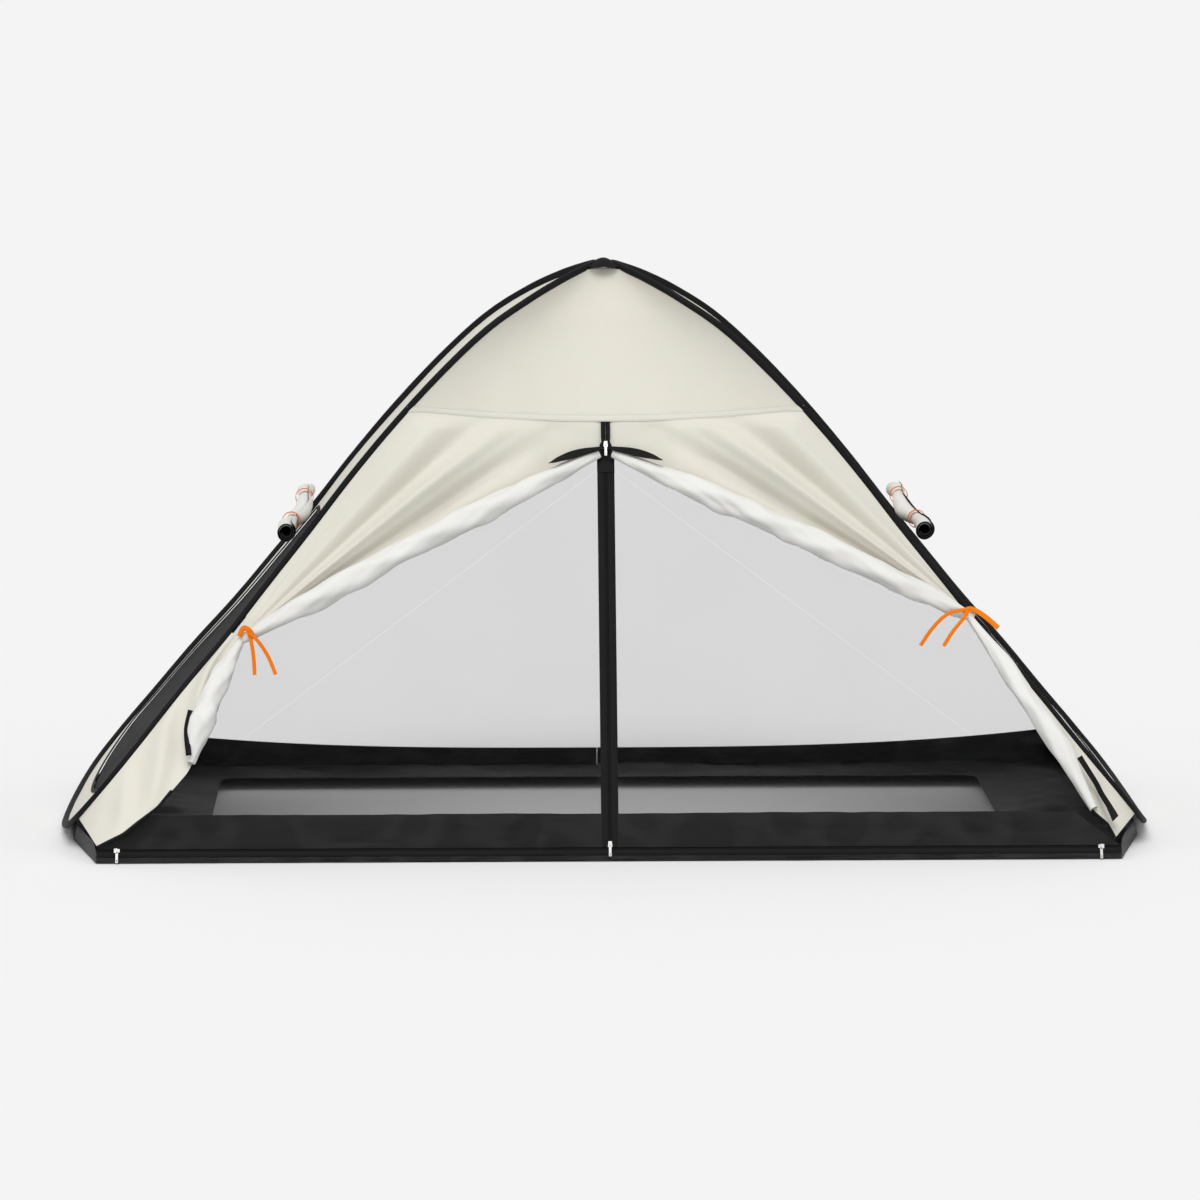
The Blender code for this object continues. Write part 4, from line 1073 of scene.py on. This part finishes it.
for word, side in SIDES.items():

    def centre_tape_place(s, t):
        up = between(LEAF_UP - 0.004, TAPE_GAP, t)
        far = min(0.0165, max(0.0030, leaf_reach(up) - 0.001))
        rib = 0.0007 * math.sin(math.pi * s)
        return door_point(side, between(TAPE_GAP, far, s), up, 0.0012 + rib)

    size = (0.0135, 0.76)
    centre_tape = zip_strip(f"centre_tape_{word}", 8, 120, centre_tape_place, size, tape_cloth, TAPE_WALL)
    sew_to_door(centre_tape, word, "tape", f"mesh_zip_tape_{word}")

    def coil_place(s, t):
        bulge = 0.0012 * math.sin(math.pi * between(0.5, 1.0, s))
        x = between(-0.0002, 0.0027, s)
        return door_point(side, x, between(LEAF_UP - 0.006, 0.004, t), 0.0004 + bulge)

    coil_half = zip_strip(f"centre_coil_{word}", 6, 100, coil_place, (0.003, 0.76), coil_nylon, COIL_WALL)
    sew_to_door(coil_half, word, "tape")

    def band_place(s, t):
        up = between(0.068, TAPE_GAP, t)
        x = between(0.0150, leaf_reach(up) - HEM_INSET, s)
        rumple = 0.0120 * rumple_at(x * 5, up * 26, side) + 0.0050 * rumple_at(x * 21, up * 55, side)
        rumple *= math.sin(math.pi * s) ** 0.5 * min(1.0, 4 * (1 - t))
        return door_point(side, x, up, 0.0016 + max(-0.001, rumple))

    band = zip_strip(f"kick_band_{word}", 150, 14, band_place, (0.95, 0.066), band_cloth, 0.0008)
    sew_to_door(band, word, "tape")

    def floor_tape_place(s, t):
        x = between(TAPE_GAP, CORNER_X - HEM_INSET, s)
        return door_point(side, x, between(-TAPE_GAP, -0.0122, t), 0.0006 * math.sin(math.pi * t))

    size = (0.96, 0.0096)
    floor_tape = zip_strip(f"floor_tape_{word}", 120, 6, floor_tape_place, size, tape_cloth, TAPE_WALL)
    sew_to_frame(floor_tape, word, "tape", f"bottom_zip_tape_{word}")

    def floor_coil_place(s, t):
        x = between(0.0002, CORNER_X - HEM_INSET, t)
        return door_point(side, x, between(-0.0028, 0.0032, s), 0.0010 * math.sin(math.pi * s) - 0.0006)

    size = (0.006, 0.965)
    floor_coil = zip_strip(f"floor_coil_{word}", 6, 240, floor_coil_place, size, coil_nylon, COIL_WALL)
    sew_to_frame(floor_coil, word, "tape")

# Zip-top tab: a small patch of black binding cloth, narrow at its upper end, sewn over the top of
# the mesh door's zip.


def tab_place(s, t):
    wide = value_at((0.0, 0.3, 1.0), (0.0080, 0.0168, 0.0168), t)
    up = between(LEAF_UP + 0.044, LEAF_UP - 0.019, t)
    return door_point(1.0, wide * (2 * s - 1), up, 0.0016 * math.sin(math.pi * s) + 0.0020)


tab = zip_strip("zip_top_tab", 12, 16, tab_place, (0.034, 0.042), binding_cloth, 0.0010)
attach(tab, "centre", "sleeve")

# Outer door's zip: two short black tapes, closed from the seam to the top of the rolls. Below that
# each tape turns aside and lies over the start of its roll.
FLARE_STEPS = 48
OUTER_TOP = (0.804 - TRACK_HEIGHT) * RUN
OUTER_LIFT = DOOR_LAYER / RUN
for word, side in SIDES.items():

    def outer_tape_place(s, t):
        up = between(OUTER_TOP, (0.742 - TRACK_HEIGHT) * RUN, t)
        return door_point(side, between(TAPE_GAP, 0.0088, s), up, OUTER_LIFT + 0.0004)

    size = (0.0065, 0.07)
    outer_tape = zip_strip(f"outer_tape_{word}", 8, 40, outer_tape_place, size, tape_cloth, TAPE_WALL)
    attach(outer_tape, "centre", "tape", f"outer_zip_tape_{word}")

    def outer_coil_place(s, t):
        bulge = 0.0009 * math.sin(math.pi * between(0.5, 1.0, s))
        up = between(OUTER_TOP, (0.757 - TRACK_HEIGHT) * RUN, t)
        return door_point(side, between(0.0001, 0.0028, s), up, OUTER_LIFT + bulge)

    size = (0.003, 0.05)
    outer_coil = zip_strip(f"outer_coil_{word}", 6, 40, outer_coil_place, size, coil_nylon, COIL_WALL)
    attach(outer_coil, "centre", "tape")

    line = roll_line(FLARE_STEPS * 8, word)[: FLARE_STEPS + 1]
    frames = framed([point for point, _ in line], DOOR_FACING)

    def flare_place(s, t):
        index = round(t * FLARE_STEPS)
        centre, out, across = frames[index]
        up = across if across.z > 0 else -across
        size = line[index][1] * 1.15 + 0.0020
        bow = math.sin(math.pi * t)
        wide = 0.007 + 0.013 * bow ** 0.8 - 0.0035 * t
        point = centre + up * (size + 0.002 + 0.007 * bow - wide * s) + out * size * (0.50 + 0.60 * s)
        point.x -= 0.010 * (1 - eased(0.0, 0.3, t))
        return on_side(point, side)

    size = (0.016, 0.10)
    flare = zip_strip(f"tape_flare_{word}", 8, FLARE_STEPS, flare_place, size, tape_cloth, TAPE_WALL)
    sew_to_frame(flare, word, "tape")

# Floor rim: crumpled black cloth. A skirt stands on the ground all round with its foot turned
# inwards, and a soft lip runs from it to the edge of the opening that goes round the mattress.
# The rim's lighter second colour is painted along its crease lines as painted highlights.
rim_cloth = woven_material(
    "rim_cloth", (0.017, 0.017, 0.0175), (0.056, 0.056, 0.057), 0.0009, 1.00, 9.0, 0.40, 1.0, 0.0, 0.42, 0.018
)
RIM_HEIGHT = TRACK_HEIGHT - 0.011
RIM_END = Vector((leg(0.030).x - 0.012, leg(0.030).y, 0))
RIM_CORNER = Vector((CORNER_X, -plane_depth(RIM_HEIGHT), 0))
RIM_STEPS = 180
MIDDLE_X = 0.0004
FOOT_SHARE = 0.3
LIP_OUTER = (
    Vector((MIDDLE_X, RIM_CORNER.y + 0.003, 0)), RIM_CORNER + Vector((-0.002, 0.003, 0)),
    RIM_END, Vector((1.043, 0, 0)),
)
LIP_INNER = (
    Vector((MIDDLE_X, -0.330, 0)), Vector((0.745, -0.330, 0)), Vector((0.765, -0.310, 0)),
    Vector((0.765, 0, 0)),
)


def half_ring(points):
    """Even points along a line and back along its mirror image."""
    line = even_points(points, 90)
    return line + [mirror_y(point) for point in line[-2::-1]]


def along_chain(points, share):
    """Point at a share of the way through a chain, each of its spans counted alike."""
    place = share * (len(points) - 1)
    first = min(int(place), len(points) - 2)
    return points[first].lerp(points[first + 1], place - first)


chain = even_points([Vector((MIDDLE_X, RIM_CORNER.y, 0)), RIM_CORNER, RIM_END], RIM_STEPS)
outer, inner = half_ring(LIP_OUTER), half_ring(LIP_INNER)

for word, side in SIDES.items():
    for wall, facing, look in (("front", 1.0, DOOR_FACING), ("back", -1.0, BACK_FACING)):

        def skirt_place(s, t):
            index = round(s * RIM_STEPS)
            point = chain[index]
            along = along_at(chain, index)
            inward = Vector((-along.y, along.x, 0))
            if facing > 0:
                tall = between(0.0118, 0.030, eased(CORNER_X - 0.01, CORNER_X + 0.02, point.x))
            else:
                drop = min(1.0, max(0.0, (point.x - CORNER_X) / 0.075))
                tall = back_edge_height(point.x) - 0.082 * drop
            if t < FOOT_SHARE:
                spot = point + inward * between(0.0160, 0.0008, t / FOOT_SHARE)
                return Vector((spot.x * side, spot.y * facing, 0.0010))
            share = (t - FOOT_SHARE) / (1 - FOOT_SHARE)
            size = 0.0030 if facing > 0 else 0.0100
            rumple = size * rumple_at(point.x * 16, share * 3, side + facing * 3)
            rumple += 0.4 * size * rumple_at(point.x * 60, share * 7, side)
            rumple *= math.sin(math.pi * min(1.0, share)) ** 0.6
            lean = WALL_SLOPE * max(0.0, tall - RIM_HEIGHT) * share
            spot = point + inward * (0.0006 + lean) + inward * rumple
            return Vector((spot.x * side, spot.y * facing, max(0.0010, tall * share)))

        skirt = cut_cloth(
            f"{wall}_skirt_cloth_{word}", RIM_STEPS, 18, skirt_place, (1.12, 0.06), [rim_cloth], look, 0.0010
        )
        sew_to_frame(skirt, word, "rim", f"{wall}_skirt_{word}")

    def lip_place(s, t):
        point = along_chain(outer, s).lerp(along_chain(inner, s), t)
        level = value_at((0.0, 0.12, 0.5, 1.0), (0.0045, 0.0250, 0.0280, 0.0235), t)
        rumple = 0.0110 * rumple_at(point.x * 5, point.y * 15, side)
        rumple += 0.0050 * rumple_at(point.x * 20, point.y * 36, side * 2)
        level += rumple * math.sin(math.pi * min(1.0, t * 1.05)) ** 0.5
        return Vector((point.x * side, point.y, max(0.0030, level)))

    lip = cut_cloth(
        f"floor_lip_cloth_{word}", 260, 34, lip_place, (2.6, 0.17), [rim_cloth], Vector((0, 0, 1)), 0.0010
    )
    sew_to_frame(lip, word, "rim", f"floor_lip_{word}")

# Zip hardware: cast zinc sliders and their pullers, in the shapes of the frame. Marks from wear
# change the metal's tone and gloss.
zinc = marked_metal("cast_zinc", 500.0, (0.60, 0.59, 0.57, 1.0), (0.38, 0.37, 0.36, 1.0), 0.20, 0.24)
for kind in ("slider", "puller"):
    for node in (f"mesh_{kind}", f"outer_{kind}", f"corner_{kind}_left", f"corner_{kind}_right"):
        refinish(node, zinc)

size = {"cad": [list(corner) for corner in cad_box], "visual": [list(corner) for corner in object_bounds()]}
